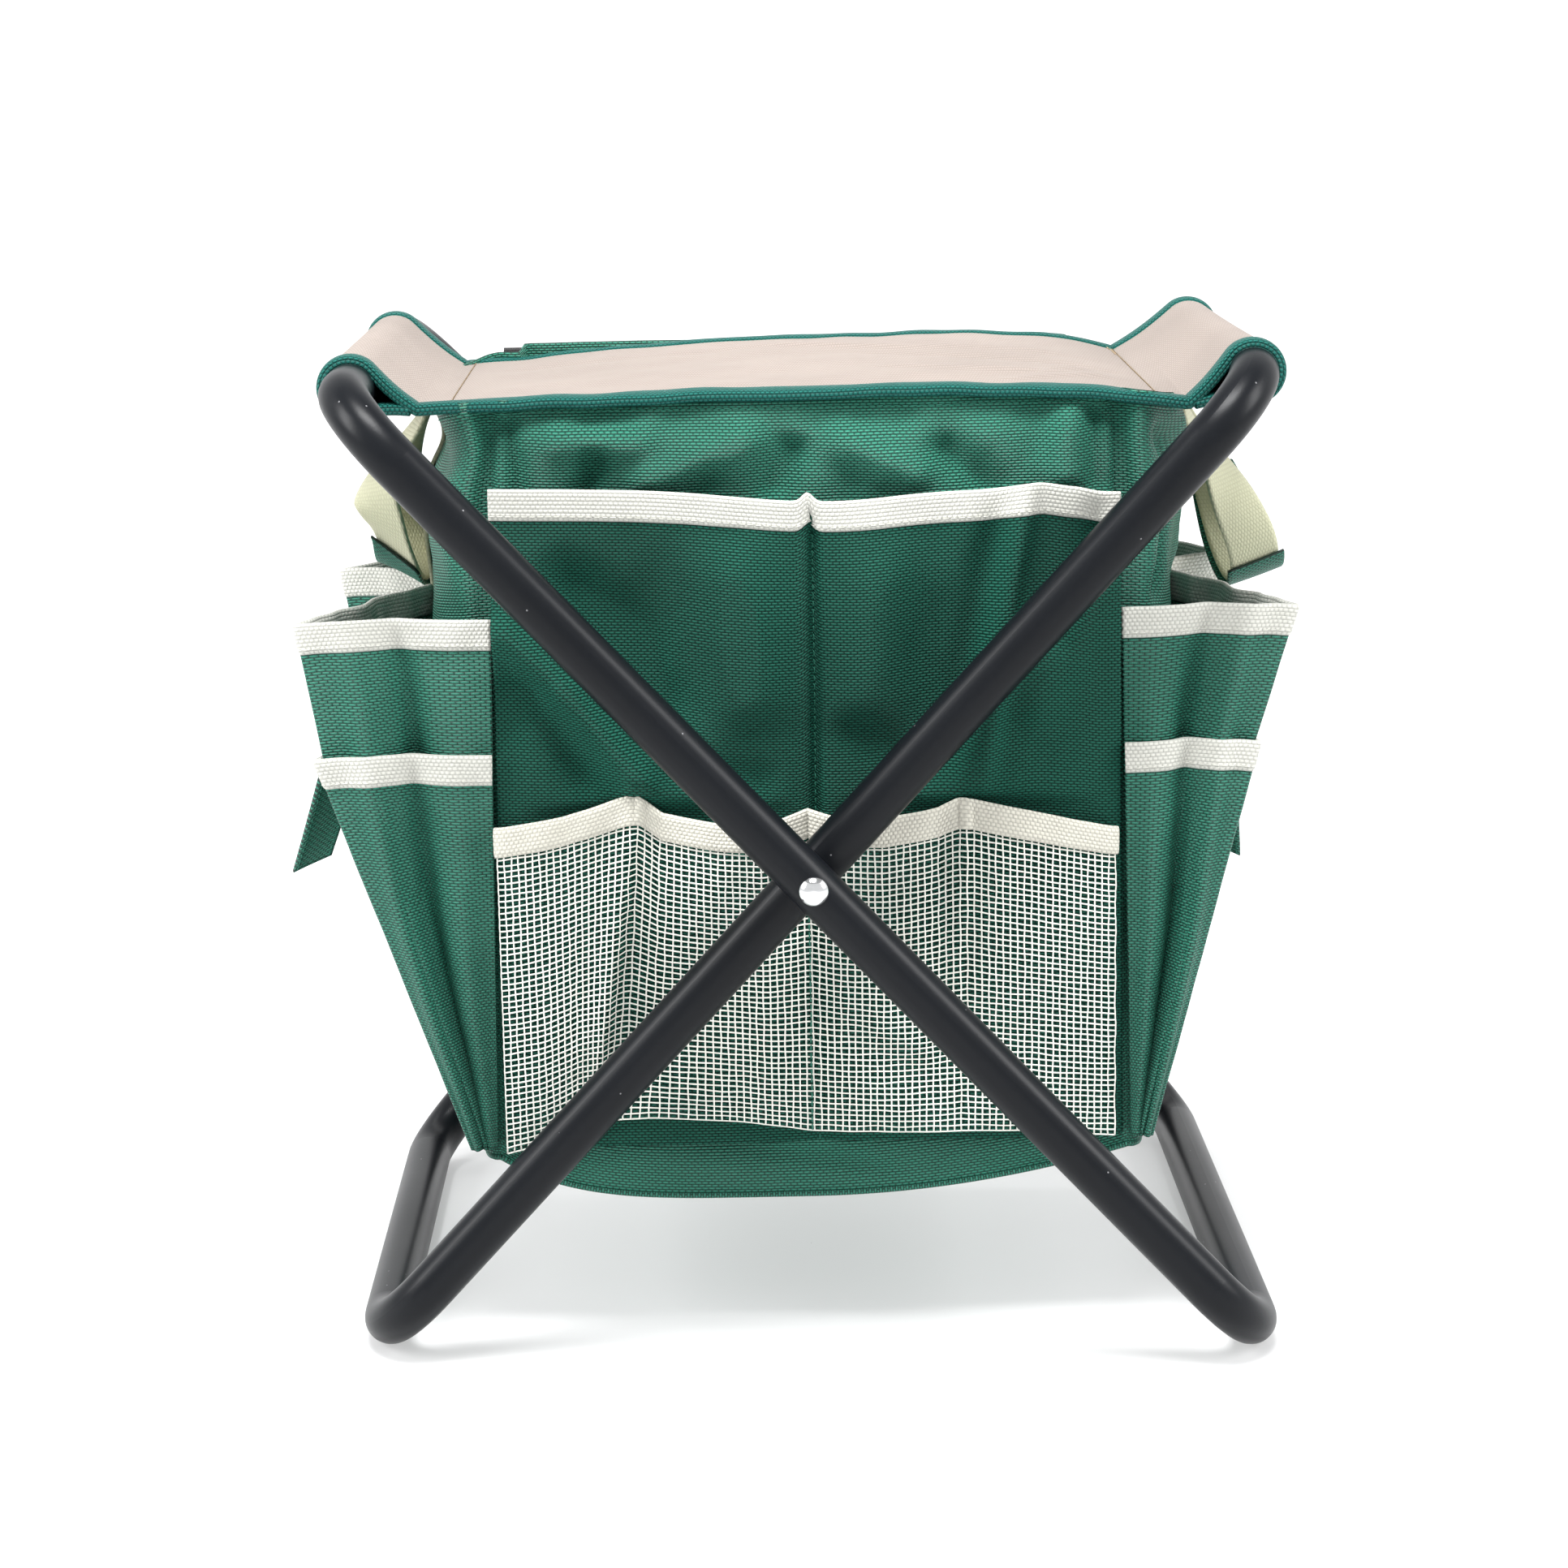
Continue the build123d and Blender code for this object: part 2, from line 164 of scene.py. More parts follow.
def cloth_uv(surface, around=False):
    """UV in metres: mean length along the columns and along the rows."""
    ring = np.concatenate([surface, surface[:, :1]], axis=1) if around else surface
    across = np.linalg.norm(np.diff(ring, axis=1), axis=-1).mean(axis=0)
    upward = np.linalg.norm(np.diff(surface, axis=0), axis=-1).mean(axis=1)
    u = np.concatenate([[0.0], np.cumsum(across)])
    v = np.concatenate([[0.0], np.cumsum(upward)])
    return np.stack(np.meshgrid(u, v), axis=-1)


def grid_quads(rows, cols, close_rows=False, close_cols=False):
    """Corner (row, column) pairs of the quads of a grid, shape (n, 4, 2)."""
    r = np.arange(rows if close_rows else rows - 1)
    c = np.arange(cols if close_cols else cols - 1)
    r, c = (g.ravel() for g in np.meshgrid(r, c, indexing="ij"))
    return np.stack([np.stack([r, c], -1), np.stack([r, c + 1], -1),
                     np.stack([r + 1, c + 1], -1), np.stack([r + 1, c], -1)], 1)


def mesh_object(name, points, quads, corner_uv, material):
    """One object from points (n, 3), quads (m, 4) and corner UVs (m, 4, 2)."""
    mesh = bpy.data.meshes.new(name)
    mesh.vertices.add(len(points))
    mesh.vertices.foreach_set("co", np.ascontiguousarray(points, dtype=np.float32).ravel())
    mesh.loops.add(quads.size)
    mesh.loops.foreach_set("vertex_index", np.ascontiguousarray(quads, dtype=np.int32).ravel())
    mesh.polygons.add(len(quads))
    mesh.polygons.foreach_set("loop_start", np.arange(0, quads.size, 4, dtype=np.int32))
    mesh.polygons.foreach_set("use_smooth", np.ones(len(quads), dtype=bool))
    uv = mesh.uv_layers.new(name="cloth")
    uv.data.foreach_set("uv", np.ascontiguousarray(corner_uv, dtype=np.float32).ravel())
    mesh.update(calc_edges=True)
    mesh.validate()
    mesh.materials.append(material)
    piece = bpy.data.objects.new(name, mesh)
    bpy.context.scene.collection.objects.link(piece)
    return piece


def grid_arrays(points, uv, close_rows=False, close_cols=False):
    """Points, quads and corner UVs of one grid; a closed grid's uv has one
    more row or column than its points."""
    rows, cols = points.shape[:2]
    corners = grid_quads(rows, cols, close_rows, close_cols)
    quads = (corners[..., 0] % rows) * cols + corners[..., 1] % cols
    return points.reshape(-1, 3), quads, uv[corners[..., 0], corners[..., 1]]


def join_arrays(parts):
    """Several (points, quads, uv) sets as one."""
    sizes = np.cumsum([0] + [len(p[0]) for p in parts])
    return (np.concatenate([p[0] for p in parts]),
            np.concatenate([p[1] + s for p, s in zip(parts, sizes)]),
            np.concatenate([p[2] for p in parts]))


def skin_arrays(surface, thick, uv=None):
    """Closed sheet: the surface moved out and in by half its thickness along
    its normals, ringed row by row and capped at the first and last row."""
    uv = cloth_uv(surface) if uv is None else uv
    push = normals(surface) * np.asarray(thick)[..., None] / 2
    ring = np.concatenate([surface + push, (surface - push)[:, ::-1]], axis=1)
    ring_uv = np.concatenate([uv, uv[:, ::-1], uv[:, :1]], axis=1)
    points, quads, corner_uv = grid_arrays(ring, ring_uv, close_cols=True)
    rows, cols = ring.shape[:2]
    i = np.arange(surface.shape[1] - 1)
    cap = np.stack([i + 1, i, cols - 1 - i, cols - 2 - i], axis=1)
    flip = cap[:, ::-1] + (rows - 1) * cols
    cap_uv = ring_uv[0][cap]
    flip_uv = ring_uv[-1][cap[:, ::-1]]
    return (points, np.concatenate([quads, cap, flip]),
            np.concatenate([corner_uv, cap_uv, flip_uv]))


def sheet_piece(name, surface, thick, material, uv=None):
    """A closed thin sheet as an object."""
    return mesh_object(name, *skin_arrays(surface, thick, uv), material)


def shell_piece(name, surface, thick, material):
    """A sheet that closes on itself round its columns, with its inner skin."""
    push = normals(surface, around=True) * thick / 2
    uv = cloth_uv(surface, around=True)
    both = np.concatenate([surface + push, (surface - push)[::-1]], axis=0)
    both_uv = np.concatenate([uv, uv[::-1], uv[:1]], axis=0)
    return mesh_object(name, *grid_arrays(both, both_uv, True, True), material)


def tube_arrays(paths, side_dir, out_dir, half_wide, half_thick, facets=6):
    """Closed tubes along many paths (k, n, 3): each ring is an ellipse in the
    given side and outward directions, and hexagon ends are capped."""
    turn = np.arange(facets) * 2 * np.pi / facets
    ring = (paths[:, :, None, :]
            + side_dir[:, :, None, :] * (np.cos(turn) * half_wide)[:, None]
            + out_dir[:, :, None, :] * (np.sin(turn) * half_thick)[:, None])
    count, length = paths.shape[:2]
    step = np.linalg.norm(np.diff(paths, axis=1), axis=-1).mean()
    uv = np.stack(np.meshgrid(np.linspace(0, 2 * math.pi * half_wide, facets + 1),
                              np.arange(length) * step), axis=-1)
    one = grid_quads(length, facets, close_cols=True)
    quad = one[..., 0] * facets + one[..., 1] % facets
    first = np.array([[3, 2, 1, 0], [0, 5, 4, 3]])
    last = first[:, ::-1] + (length - 1) * facets
    quad = np.concatenate([quad, first, last])
    corner = np.concatenate([uv[one[..., 0], one[..., 1]], np.zeros((4, 4, 2))])
    quads = quad[None] + np.arange(count)[:, None, None] * length * facets
    return ring.reshape(-1, 3), quads.reshape(-1, 4), np.tile(corner, (count, 1, 1))


def frames_along(paths, out_dir):
    """Side directions square to each path and to its outward direction."""
    tangent = np.gradient(paths, axis=1)
    side = np.cross(tangent, out_dir)
    return side / np.maximum(np.linalg.norm(side, axis=-1, keepdims=True), 1e-12)


def stitch_arrays(line, out_dir, pitch, long, thick):
    """Row of thread stitches on a line (n, 3): short rounded tubes, each
    dipping into the cloth at both ends."""
    steps = np.linalg.norm(np.diff(line, axis=0), axis=1)
    length = np.concatenate([[0.0], np.cumsum(steps)])
    count = max(2, int(length[-1] / pitch))
    centre = (np.arange(count) + 0.5) * length[-1] / count
    t = np.linspace(-0.5, 0.5, 5)
    place = centre[:, None] + t[None] * long
    path = np.stack([np.interp(place, length, line[:, k]) for k in range(3)], -1)
    out = np.stack([np.interp(place, length, out_dir[:, k]) for k in range(3)], -1)
    out /= np.linalg.norm(out, axis=-1, keepdims=True)
    path = path + out * (thick * (1.0 - 9.0 * t ** 4 * 2.2))[None, :, None]
    return tube_arrays(path, frames_along(path, out), out, thick, thick)


# ---- finishes --------------------------------------------------------------
class Term:
    """A shader socket in a sum: arithmetic on it adds Math nodes."""

    def __init__(self, look, socket):
        self.look, self.socket = look, socket

    def math(self, operation, *others):
        return self.look.math(operation, self, *others)

    def __add__(self, other):
        return self.math("ADD", other)

    __radd__ = __add__

    def __mul__(self, other):
        return self.math("MULTIPLY", other)

    __rmul__ = __mul__

    def __sub__(self, other):
        return self.math("SUBTRACT", other)

    def __rsub__(self, other):
        return self.look.math("SUBTRACT", other, self)

    def __truediv__(self, other):
        return self.math("DIVIDE", other)

    def __pow__(self, other):
        return self.math("POWER", other)


class Look:
    """One node material round a Principled shader."""

    def __init__(self, name, **fixed):
        self.material = bpy.data.materials.new(name)
        self.material.use_nodes = True
        self.tree = self.material.node_tree
        self.tree.nodes.clear()
        self.shader = self.tree.nodes.new("ShaderNodeBsdfPrincipled")
        output = self.tree.nodes.new("ShaderNodeOutputMaterial")
        self.tree.links.new(self.shader.outputs[0], output.inputs[0])
        for socket, value in fixed.items():
            self.shader.inputs[socket.replace("_", " ")].default_value = value

    def plug(self, socket, value):
        if isinstance(value, Term):
            self.tree.links.new(value.socket, socket)
        else:
            socket.default_value = value

    def node(self, kind, settings=(), inputs=(), output=0):
        """A node of a kind, with its settings made first, then its sockets."""
        made = self.tree.nodes.new(kind)
        for key, value in dict(settings).items():
            setattr(made, key, value)
        for key, value in dict(inputs).items():
            self.plug(made.inputs[key], value)
        return Term(self, made.outputs[output])

    def math(self, operation, *values):
        inputs = dict(enumerate(values))
        return self.node("ShaderNodeMath", {"operation": operation}, inputs)

    def coordinates(self, which):
        """The three numbers of a texture coordinate."""
        source = self.node("ShaderNodeTexCoord", output=which)
        split = self.node("ShaderNodeSeparateXYZ", inputs={0: source})
        nodes = split.socket.node.outputs
        return source, [Term(self, nodes[k]) for k in range(3)]

    def bricks(self, long, row):
        """Rounded dashes laid as bricks are, each row half a dash on from the
        last: the cloth's u and v, the dash's rise and its row's rise."""
        _, (u, v, _) = self.coordinates(2)
        line = v / row
        lift = (line * math.pi).math("SINE").math("ABSOLUTE")
        offset = line.math("FLOOR") * 0.5
        dash = ((u / long + offset) * math.pi).math("SINE").math("ABSOLUTE")
        return u, v, dash, lift

    def noise(self, source, scale, detail=3.0):
        inputs = {"Vector": source, "Scale": scale, "Detail": detail}
        return self.node("ShaderNodeTexNoise", inputs=inputs)

    def mix(self, factor, first, second):
        """Colour between first and second."""
        settings = {"data_type": "RGBA", "clamp_factor": True}
        return self.node("ShaderNodeMix", settings, {0: factor, 6: first, 7: second}, 2)

    def bump(self, height, strength, distance):
        inputs = {"Height": height, "Strength": strength, "Distance": distance}
        self.set("Normal", self.node("ShaderNodeBump", inputs=inputs))

    def set(self, socket, value):
        self.plug(self.shader.inputs[socket], value)


def shade(colour, factor):
    """A colour made lighter or darker, as four numbers."""
    return tuple(min(1.0, c * factor) for c in colour[:3]) + (1.0,)


def woven_cloth(name, colour, pitch, row, relief, gap_shade=0.12, rough=0.46, shine=0.38):
    """Oxford weave: rows of short dashes, each row half a dash on from the
    last, with rounded tops painted lighter as highlights, gaps painted darker
    as shade, fine yarn lines and slow fading."""
    look = Look(name, Specular_IOR_Level=shine)
    u, v, dash, lift = look.bricks(pitch, row)
    height = dash ** 0.45 * lift ** 0.55
    yarn = (u * (12.0 * math.pi / pitch) + v * (2.0 / row)).math("SINE") * 0.06
    place, _ = look.coordinates(3)
    fade = look.noise(place, 9.0)
    fuzz = look.noise(place, 900.0, 2.0)
    # Painted highlight: the dash tops are lit up to 1.65 times the cloth colour.
    top = look.mix(fade * 1.6 - 0.3, shade(colour, 1.05), shade(colour, 1.65))
    # Painted shade: the colour falls to the gap factor where the weave dips.
    relief_shade = (height + yarn) * 1.15 + fuzz * 0.3 - 0.28
    look.set("Base Color", look.mix(relief_shade, shade(colour, gap_shade), top))
    look.set("Roughness", fuzz * 0.16 + (rough - 0.08))
    look.bump(height + yarn, 1.0, relief)
    return look.material


def ribbed_tape(name, colour, rib, row, relief, dark=0.72, rough=0.68, sheen=0.2):
    """Tape or webbing: short ribs in rows, each row half a rib on from the
    last, as bricks are laid, with rounded tops and gaps painted darker as shade."""
    look = Look(name, Sheen_Weight=sheen, Sheen_Roughness=0.5,
                Specular_IOR_Level=0.15 + sheen)
    _, _, bead, lift = look.bricks(rib, row)
    height = bead ** 0.6 * lift ** 0.6
    place, _ = look.coordinates(3)
    fuzz = look.noise(place, 700.0, 2.0)
    fade = look.noise(place, 14.0)
    relief_shade = height * 0.85 + fuzz * 0.3
    top = look.mix(fade * 1.4 - 0.2, shade(colour, 0.95), shade(colour, 1.04))
    # Painted shade: the colour darkens by the given factor in the gaps between ribs.
    look.set("Base Color", look.mix(relief_shade, shade(colour, dark), top))
    look.set("Roughness", fuzz * 0.14 + (rough - 0.07))
    look.bump(height + fuzz * 0.25, 0.9, relief)
    return look.material


def powder_coat(name, colour):
    """Satin black powder coat: fine orange-peel relief, slow gloss change and
    a few pale dust specks."""
    look = Look(name, Specular_IOR_Level=0.18)
    place, _ = look.coordinates(3)
    peel = look.noise(place, 900.0, 2.0)
    haze = look.noise(place, 16.0)
    cells = look.node("ShaderNodeTexVoronoi", {"feature": "F1"},
                      {"Vector": place, "Scale": 95.0})
    speck = cells.math("LESS_THAN", 0.035)
    body = look.mix(haze, shade(colour, 0.85), shade(colour, 1.2))
    look.set("Base Color", look.mix(speck * 0.5, body, (0.4, 0.4, 0.42, 1.0)))
    look.set("Roughness", haze * 0.10 + 0.29)
    look.bump(peel, 0.25, 0.00006)
    return look.material


def polished_metal(name, colour, rough, scale=60.0):
    """Bright metal with faint handling marks in its gloss."""
    look = Look(name, Metallic=1.0)
    place, _ = look.coordinates(3)
    marks = look.noise(place, scale, 4.0)
    look.set("Base Color", look.mix(marks, shade(colour, 0.94), shade(colour, 1.03)))
    look.set("Roughness", marks * 0.12 + rough)
    look.bump(marks, 0.08, 0.0001)
    return look.material


def coated_yarn(name, colour, rough, scale, relief):
    """Coated strand, thread or moulded plastic: fine mottling in colour,
    gloss and relief."""
    look = Look(name, Specular_IOR_Level=0.5)
    place, _ = look.coordinates(3)
    mottle = look.noise(place, scale, 3.0)
    look.set("Base Color", look.mix(mottle, shade(colour, 0.86), shade(colour, 1.06)))
    look.set("Roughness", mottle * 0.15 + rough)
    look.bump(mottle, 0.4, relief)
    return look.material


_looks = {}


def finish(name):
    """The shared material of that name, made on first use."""
    if name not in _looks:
        c = bpy.context.scene.stool_colours
        t = bpy.context.scene.stool_textures
        black = (0.012, 0.012, 0.013, 1.0)
        maker, *choices = {
            "bag cloth": (woven_cloth, c.bag, t.weave, t.weave_row, 0.0009),
            # The tall pockets get a darker, less glossy copy of the bag cloth: painted shade for
            # the shade they fall in.
            "pocket cloth": (woven_cloth, c.pocket, t.weave, t.weave_row, 0.0009,
                             0.1, 0.5, 0.12),
            "seat cloth": (woven_cloth, c.seat, t.seat_weave, 0.004, 0.00012, 0.88, 0.6),
            "pocket tape": (ribbed_tape, c.tape, 0.0020, 0.0016, 0.0005),
            "mesh tape": (ribbed_tape, c.mesh_tape, 0.0020, 0.0016, 0.0005),
            "seat tape": (ribbed_tape, c.seat_tape, 0.0019, 0.0013, 0.0009, 0.22, 0.45, 0.0),
            "webbing": (ribbed_tape, c.webbing, 0.0014, 0.0018, 0.0002, 0.82),
            "black elastic": (ribbed_tape, black, 0.0011, 0.0011, 0.0003),
            "net": (coated_yarn, c.net, 0.34, 500.0, 0.0001),
            "tan thread": (coated_yarn, c.seat_thread, 0.6, 900.0, 0.0001),
            "ivory thread": (coated_yarn, c.tape, 0.6, 900.0, 0.0001),
            "green thread": (coated_yarn, c.bag, 0.6, 900.0, 0.0001),
            "black plastic": (coated_yarn, (0.02, 0.02, 0.021, 1.0), 0.45, 400.0, 0.0001),
            "powder coat": (powder_coat, c.tube),
            "rivet": (polished_metal, (0.86, 0.87, 0.88, 1.0), 0.09),
            "washer": (polished_metal, (0.6, 0.6, 0.62, 1.0), 0.28),
        }[name]
        _looks[name] = maker(name, *choices)
    return _looks[name]


# ---- what every soft piece needs -------------------------------------------
def hang(piece, slot, *nodes, body="bag"):
    """A soft piece stands for its frame nodes and follows a body."""
    if nodes:
        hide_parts(*nodes)
    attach(piece, body)
    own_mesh(piece)
    return piece


def flat_size(surface):
    """Mean width and length of a grid, measured along its rows and columns."""
    across = np.linalg.norm(np.diff(surface, axis=1), axis=-1).sum(axis=1).mean()
    upward = np.linalg.norm(np.diff(surface, axis=0), axis=-1).sum(axis=0).mean()
    return float(across), float(upward)


def rim_tape(name, band, fat, look, node):
    """Folded tape over a pocket's rim, thinner towards its two edges."""
    across = np.linspace(-1, 1, len(band))
    thick = np.repeat((fat * (1 - 0.5 * across ** 8))[:, None], band.shape[1], axis=1)
    tape = sheet_piece(name, band, thick, finish(look))
    return hang(tape, "pocket_tape", node)


# pitch, length and thickness of the stitches
SEAT_STITCH = (0.0046, 0.0028, 0.00022)
HEM_STITCH = (0.0034, 0.0024, 0.0002)
SEAM_STITCH = (0.0034, 0.0024, 0.00022)
NET_STITCH = (0.0034, 0.0024, 0.0003)
TAPE_STITCH = (0.0032, 0.0022, 0.0002)
TAB_STITCH = (0.003, 0.002, 0.0002)


def seam(name, lines, thread, slot, stitch):
    """Rows of stitches, each a line of points with its outward directions."""
    rows = [stitch_arrays(line, out, *stitch) for line, out in lines]
    return hang(mesh_object(name, *join_arrays(rows), finish(thread)), slot)


# ---- seat ------------------------------------------------------------------
# x and height along the seat's two edges, from one stitch line to the other
SEAT_LINE = {
    "front": [(-0.154, 0.3912), (-0.12, 0.3930), (-0.04, 0.3953), (0.04, 0.3962),
              (0.11, 0.3945), (0.1545, 0.3880)],
    "rear": [(-0.149, 0.3882), (-0.10, 0.3925), (-0.05, 0.3962), (0.02, 0.3985),
             (0.08, 0.3988), (0.122, 0.3965), (0.146, 0.3895)],
}
SEAT_CREASES = [
    (0.0014, (-0.03, 0.07), (0.12, 0.02), 0.006),
    (-0.0012, (0.02, 0.03), (0.14, -0.03), 0.007),
    (0.0012, (0.03, -0.03), (0.13, -0.06), 0.006),
    (-0.0010, (-0.13, 0.04), (-0.02, 0.06), 0.008),
    (0.0010, (0.08, -0.082), (0.14, -0.048), 0.004),
    (-0.0009, (0.09, -0.060), (0.14, -0.020), 0.004),
]


def sleeve_path(knot):
    """Right-hand sleeve in X and Z from a stitch point: over the rail, round
    it at the cloth's radius and back under to just below the stitch."""
    wrap = 0.0116
    arm = knot - RAIL
    aim = math.atan2(arm[1], arm[0])
    spread = math.acos(wrap / np.hypot(*arm))
    turn = np.linspace(aim - spread, aim + spread - 2 * math.pi, 60)
    ring = RAIL + wrap * np.stack([np.cos(turn), np.sin(turn)], 1)
    t = np.linspace(0, 1, 24)[:, None]
    dip = np.array([0, -1]) * (0.0012 * np.sin(np.pi * t))
    upper = knot + (ring[0] - knot) * t + dip
    under = ring[-1] + (knot + [0.003, -0.0013] - ring[-1]) * t - dip
    return np.concatenate([upper[:-1], ring[:-1], under])


def seat_path(marks, count=420):
    """Cross-section of the seat cloth in X and Z: left sleeve, the middle
    through its marks with rounded turns, and the right sleeve."""
    marks = np.array(marks)
    right = sleeve_path(marks[-1])
    left = sleeve_path(marks[0] * [-1, 1])[::-1] * [-1, 1]
    x = np.linspace(marks[0, 0], marks[-1, 0], 201)
    z = np.interp(x, marks[:, 0], marks[:, 1])
    weight = np.hanning(37) / np.hanning(37).sum()
    soft = np.convolve(np.pad(z, 18, mode="reflect", reflect_type="odd"), weight, "valid")
    path = np.concatenate([left, np.stack([x, soft], 1)[1:-1], right])
    length = np.concatenate([[0], np.cumsum(np.hypot(*np.diff(path, axis=0).T))])
    even = np.linspace(0, length[-1], count)
    return np.stack([np.interp(even, length, path[:, k]) for k in range(2)], 1)


def seat_surface(y_values):
    """Seat cloth: the front cross-section turning into the rear one along Y,
    with edges that droop a little and shallow pull creases."""
    front, rear = seat_path(SEAT_LINE["front"]), seat_path(SEAT_LINE["rear"])
    share = (np.asarray(y_values) / SEAT_HALF + 1) / 2
    path = front + (rear - front) * np.clip(share, -0.05, 1.05)[:, None, None]
    x, z = path[..., 0], path[..., 1].copy()
    y = np.broadcast_to(np.asarray(y_values)[:, None], x.shape)
    inner = ease((0.146 - np.abs(x)) / 0.03)
    z -= inner * 0.0008 * (np.abs(y) / SEAT_HALF) ** 8
    z += inner * 0.0007 * slack(x * 1.1, y, 0.4)
    z += inner * creases(x, y, SEAT_CREASES)
    return np.stack([x, y, z], -1)


def stretch(piece, slot, *nodes):
    """A seat piece stands for its frame nodes and spans the two frames."""
    if nodes:
        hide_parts(*nodes)
    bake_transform(piece)
    return piece


class STOOL_OT_seat(bpy.types.Operator):
    """Seat cloth, its sewn sleeves, its two edge tapes and their stitches"""
    bl_idname = "stool.seat"
    bl_label = "Seat"

    def execute(self, context):
        rows = seat_surface(np.linspace(-SEAT_HALF, SEAT_HALF, 70))
        cloth = sheet_piece("seat_cloth", rows, 0.001, finish("seat cloth"))
        stretch(cloth, "seat_fabric", "seat_sheet")
        for end, node in ((-1, "seat_front_binding"), (1, "seat_rear_binding")):
            turn = np.linspace(0.0, np.pi, 21)
            near = 0.0021 - 0.0055 * np.cos(turn)
            band = seat_surface(SEAT_HALF * end - end * near)
            band = band + 0.0007 * end * normals(band)
            swell = 0.0006 + 0.0048 * np.sin(turn) ** 0.5
            band = band.transpose(1, 0, 2)
            around = np.cumsum(np.hypot(np.gradient(near), np.gradient(swell / 2)))
            run = cloth_uv(band)[:, 0, 1]
            uv = np.stack(np.meshgrid(run, around, indexing="ij"), -1)
            thick = np.repeat(swell[None], band.shape[0], axis=0)
            tape = sheet_piece(node + "_tape", band, thick, finish("seat tape"), uv)
            stretch(tape, "seat_binding", node)
        threads = []
        y = np.linspace(-SEAT_HALF, SEAT_HALF, 90)
        share = ((y / SEAT_HALF + 1) / 2)[:, None]
        grid = seat_surface(y)
        face = normals(grid)
        for side, mark in ((-1, 0), (1, -1)):
            ends_x = [SEAT_LINE[key][mark][0] for key in ("front", "rear")]
            for inset in (-0.0045, 0.0, 0.0030):
                x = ends_x[0] + (ends_x[1] - ends_x[0]) * share - side * inset
                column = np.argmin(np.abs(grid[:, 90:-90, 0] - x), axis=1) + 90
                row = np.arange(len(y))
                out = face[row, column]
                line = grid[row, column] + out * 0.0007
                threads.append(stitch_arrays(line, out, *SEAT_STITCH))
        sewing = mesh_object("seat_stitches", *join_arrays(threads), finish("tan thread"))
        stretch(sewing, "seat_fabric")
        return {"FINISHED"}


# ---- bag -------------------------------------------------------------------
def corner_x(z):
    """Half width of the bag at its corner seams."""
    return along_marks(z, [(0.06, 0.131), (0.306, 0.126), (0.393, 0.1245)])


def bulge_x(z, hand="right"):
    """How far a side panel swells beyond the corner seam; the left one is
    pinched in above its pockets."""
    pinch = -0.008 * bell((z - 0.371) / 0.013) * (hand == "left")
    return pinch + along_marks(z, [(0.06, 0.007), (0.08, 0.010), (0.22, 0.024),
                                   (0.306, 0.030), (0.35, 0.032), (0.393, 0.030)])


def base_sag(u):
    """Depth of the bag's sag at a share u of its half width: fuller on the
    left, where it holds its depth nearly to the corner."""
    return 0.0188 * (1 - np.abs(u) ** np.where(u < 0, 4.5, 2.0))


UPPER_CREASES = [
    (0.0050, (-0.105, 0.377), (-0.060, 0.376), 0.006),
    (-0.0055, (-0.090, 0.352), (-0.082, 0.374), 0.006),
    (0.0058, (-0.070, 0.358), (-0.018, 0.378), 0.007),
    (-0.0058, (-0.014, 0.352), (-0.004, 0.378), 0.008),
    (0.0055, (0.012, 0.376), (0.052, 0.360), 0.007),
    (-0.0055, (0.052, 0.376), (0.080, 0.352), 0.007),
    (0.0050, (0.105, 0.350), (0.106, 0.392), 0.007),
    (-0.0060, (-0.114, 0.350), (-0.119, 0.392), 0.0045),
    (-0.0055, (0.118, 0.350), (0.117, 0.392), 0.0045),
]
BELLY_CREASES = [
    (0.0016, (-0.10, 0.082), (-0.02, 0.066), 0.004),
    (-0.0016, (-0.06, 0.088), (0.03, 0.070), 0.004),
    (0.0014, (0.02, 0.078), (0.11, 0.080), 0.004),
]
SHOULDER_CREASES = [
    (-0.008, (-0.104, 0.30), (-0.088, 0.37), 0.006, 1.5),
    (0.003, (-0.075, 0.385), (-0.03, 0.31), 0.010),
    (-0.006, (-0.100, 0.378), (-0.060, 0.345), 0.006, 2.0),
    (0.006, (-0.094, 0.388), (-0.052, 0.362), 0.006),
]


